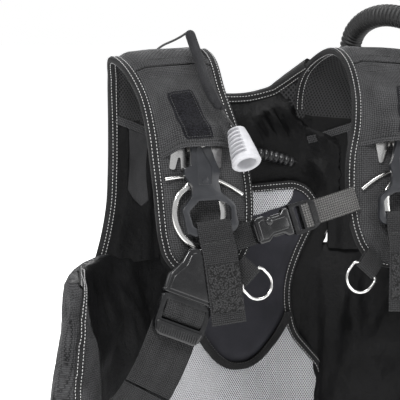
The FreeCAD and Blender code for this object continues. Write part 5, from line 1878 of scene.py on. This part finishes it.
def box_ring(wide, tall, radius):
    """A rounded rectangle's points, spread evenly."""
    corners = [(0, 0), (wide, 0), (wide, tall), (0, tall)]
    return even_outline(rounded(corners, radius, 6), 3.0)


def make_weights(side):
    """Soft sleeve open to the front, and its pull-out pouch with a webbing handle."""
    name = SIDE[side]
    at = weight_matrix(side)
    ring = box_ring(WEIGHT_WIDE, WEIGHT_TALL, 9)
    middle = ring.mean(0)
    unit_way = unit(ring - middle)
    rows = []
    for depth, shrink in ((0.0, 1.2), (1.0, 0.0), (6, 0.0), (30, -0.7), (60, -1.2), (90, -0.7), (112, 0.2),
                          (118, 2.5),
                          (119.8, 7), (WEIGHT_LONG, 15)):
        rows.append([(x, depth, z) for x, z in ring - unit_way * shrink])
    for depth, shrink in ((117.5, 15), (117.0, 8), (114, 4.2), (60, 2.2), (8, 2.6), (1.0, 2.4)):
        rows.append([(x, depth, z) for x, z in ring - unit_way * shrink])
    sleeve = loft(np.array(rows), loop=True)
    points = sleeve[0] + np.outer(wavy(sleeve[0], 34, 0.5, 40 + side), (1, 0, 0))
    sleeve_piece = piece(name + "_weight_cover", moved((points, sleeve[1]), at), CORDURA_SOLID,
                         stands_for=name + "_weight_sleeve")
    border = np.array([(x, 7.5, z) for x, z in ring + unit_way * 0.7])
    outward = np.array([(x, 0, z) for x, z in unit_way])
    rotation = at.copy()
    rotation[:3, 3] = 0
    rows = [stitches(moved((border + vec(0, gap, 0), []), at)[0], moved((outward, []), rotation)[0])
            for gap in (-4.5, 0)]
    piece(name + "_weight_stitches", combine(rows), WHITE_THREAD, turn=False)

    gap = WEIGHT_WALL + 0.9
    inner = box_ring(WEIGHT_WIDE - 2 * gap, WEIGHT_TALL - 2 * gap, 8) + gap
    middle = inner.mean(0)
    inner_way = unit(inner - middle)
    rows = []
    for depth, shrink in ((-2, 12), (-1.9, 7), (-0.6, 2.6), (3, 0.6), (30, 0), (80, 0), (108, 0.6),
                          (114, 4), (115.5, 11)):
        rows.append([(x, depth, z) for x, z in inner - inner_way * shrink])
    pouch = loft(np.array(rows))
    bag = piece(name + "_weight_pouch", moved(pouch, at), SATIN, name + "_weight_pocket",
                stands_for=name + "_weight_pocket")
    route = [(WEIGHT_WIDE / 2, y, z) for y, z in
             ((6, 32), (-8, 33), (-19, 41), (-22, 60), (-19, 79), (-8, 87), (6, 88))]
    shape, cloth = band(smooth(route, 60), (1, 0, 0), 12, 2.4, 0.4, 2.2)
    piece(name + "_weight_handle", moved(shape, at), WEBBING, name + "_weight_pocket", cloth=cloth)


dump_route = [VALVE_CENTRE + VALVE_WAY * 8 + vec(0, 0, 28), (-117, -163, 300), (-115, -182, 334),
              (-112, -212, 346),
              (-106, -238, 352), (-100, -254, 358), SLEEVE_TOP + vec(0, 1, 0)]
make_cord("dump_pull_cord", dump_route, "vest", "dump_cord")
make_cord("dump_tail_cord", [SLEEVE_ELBOW, SLEEVE_MOUTH, KNOB_TIP + PULL_WAY * 1.5], "dump_knob",
          "dump_cord_tail")
finish_node("rear_dump_cord", CORD)
make_dump_sleeve()
make_dump_knob()
make_hose()
make_handle()
make_chest_straps()
make_chest_buckle()
make_waist()
make_waist_buckle()
make_tank_band()
for side in (RIGHT, LEFT):
    make_weights(side)
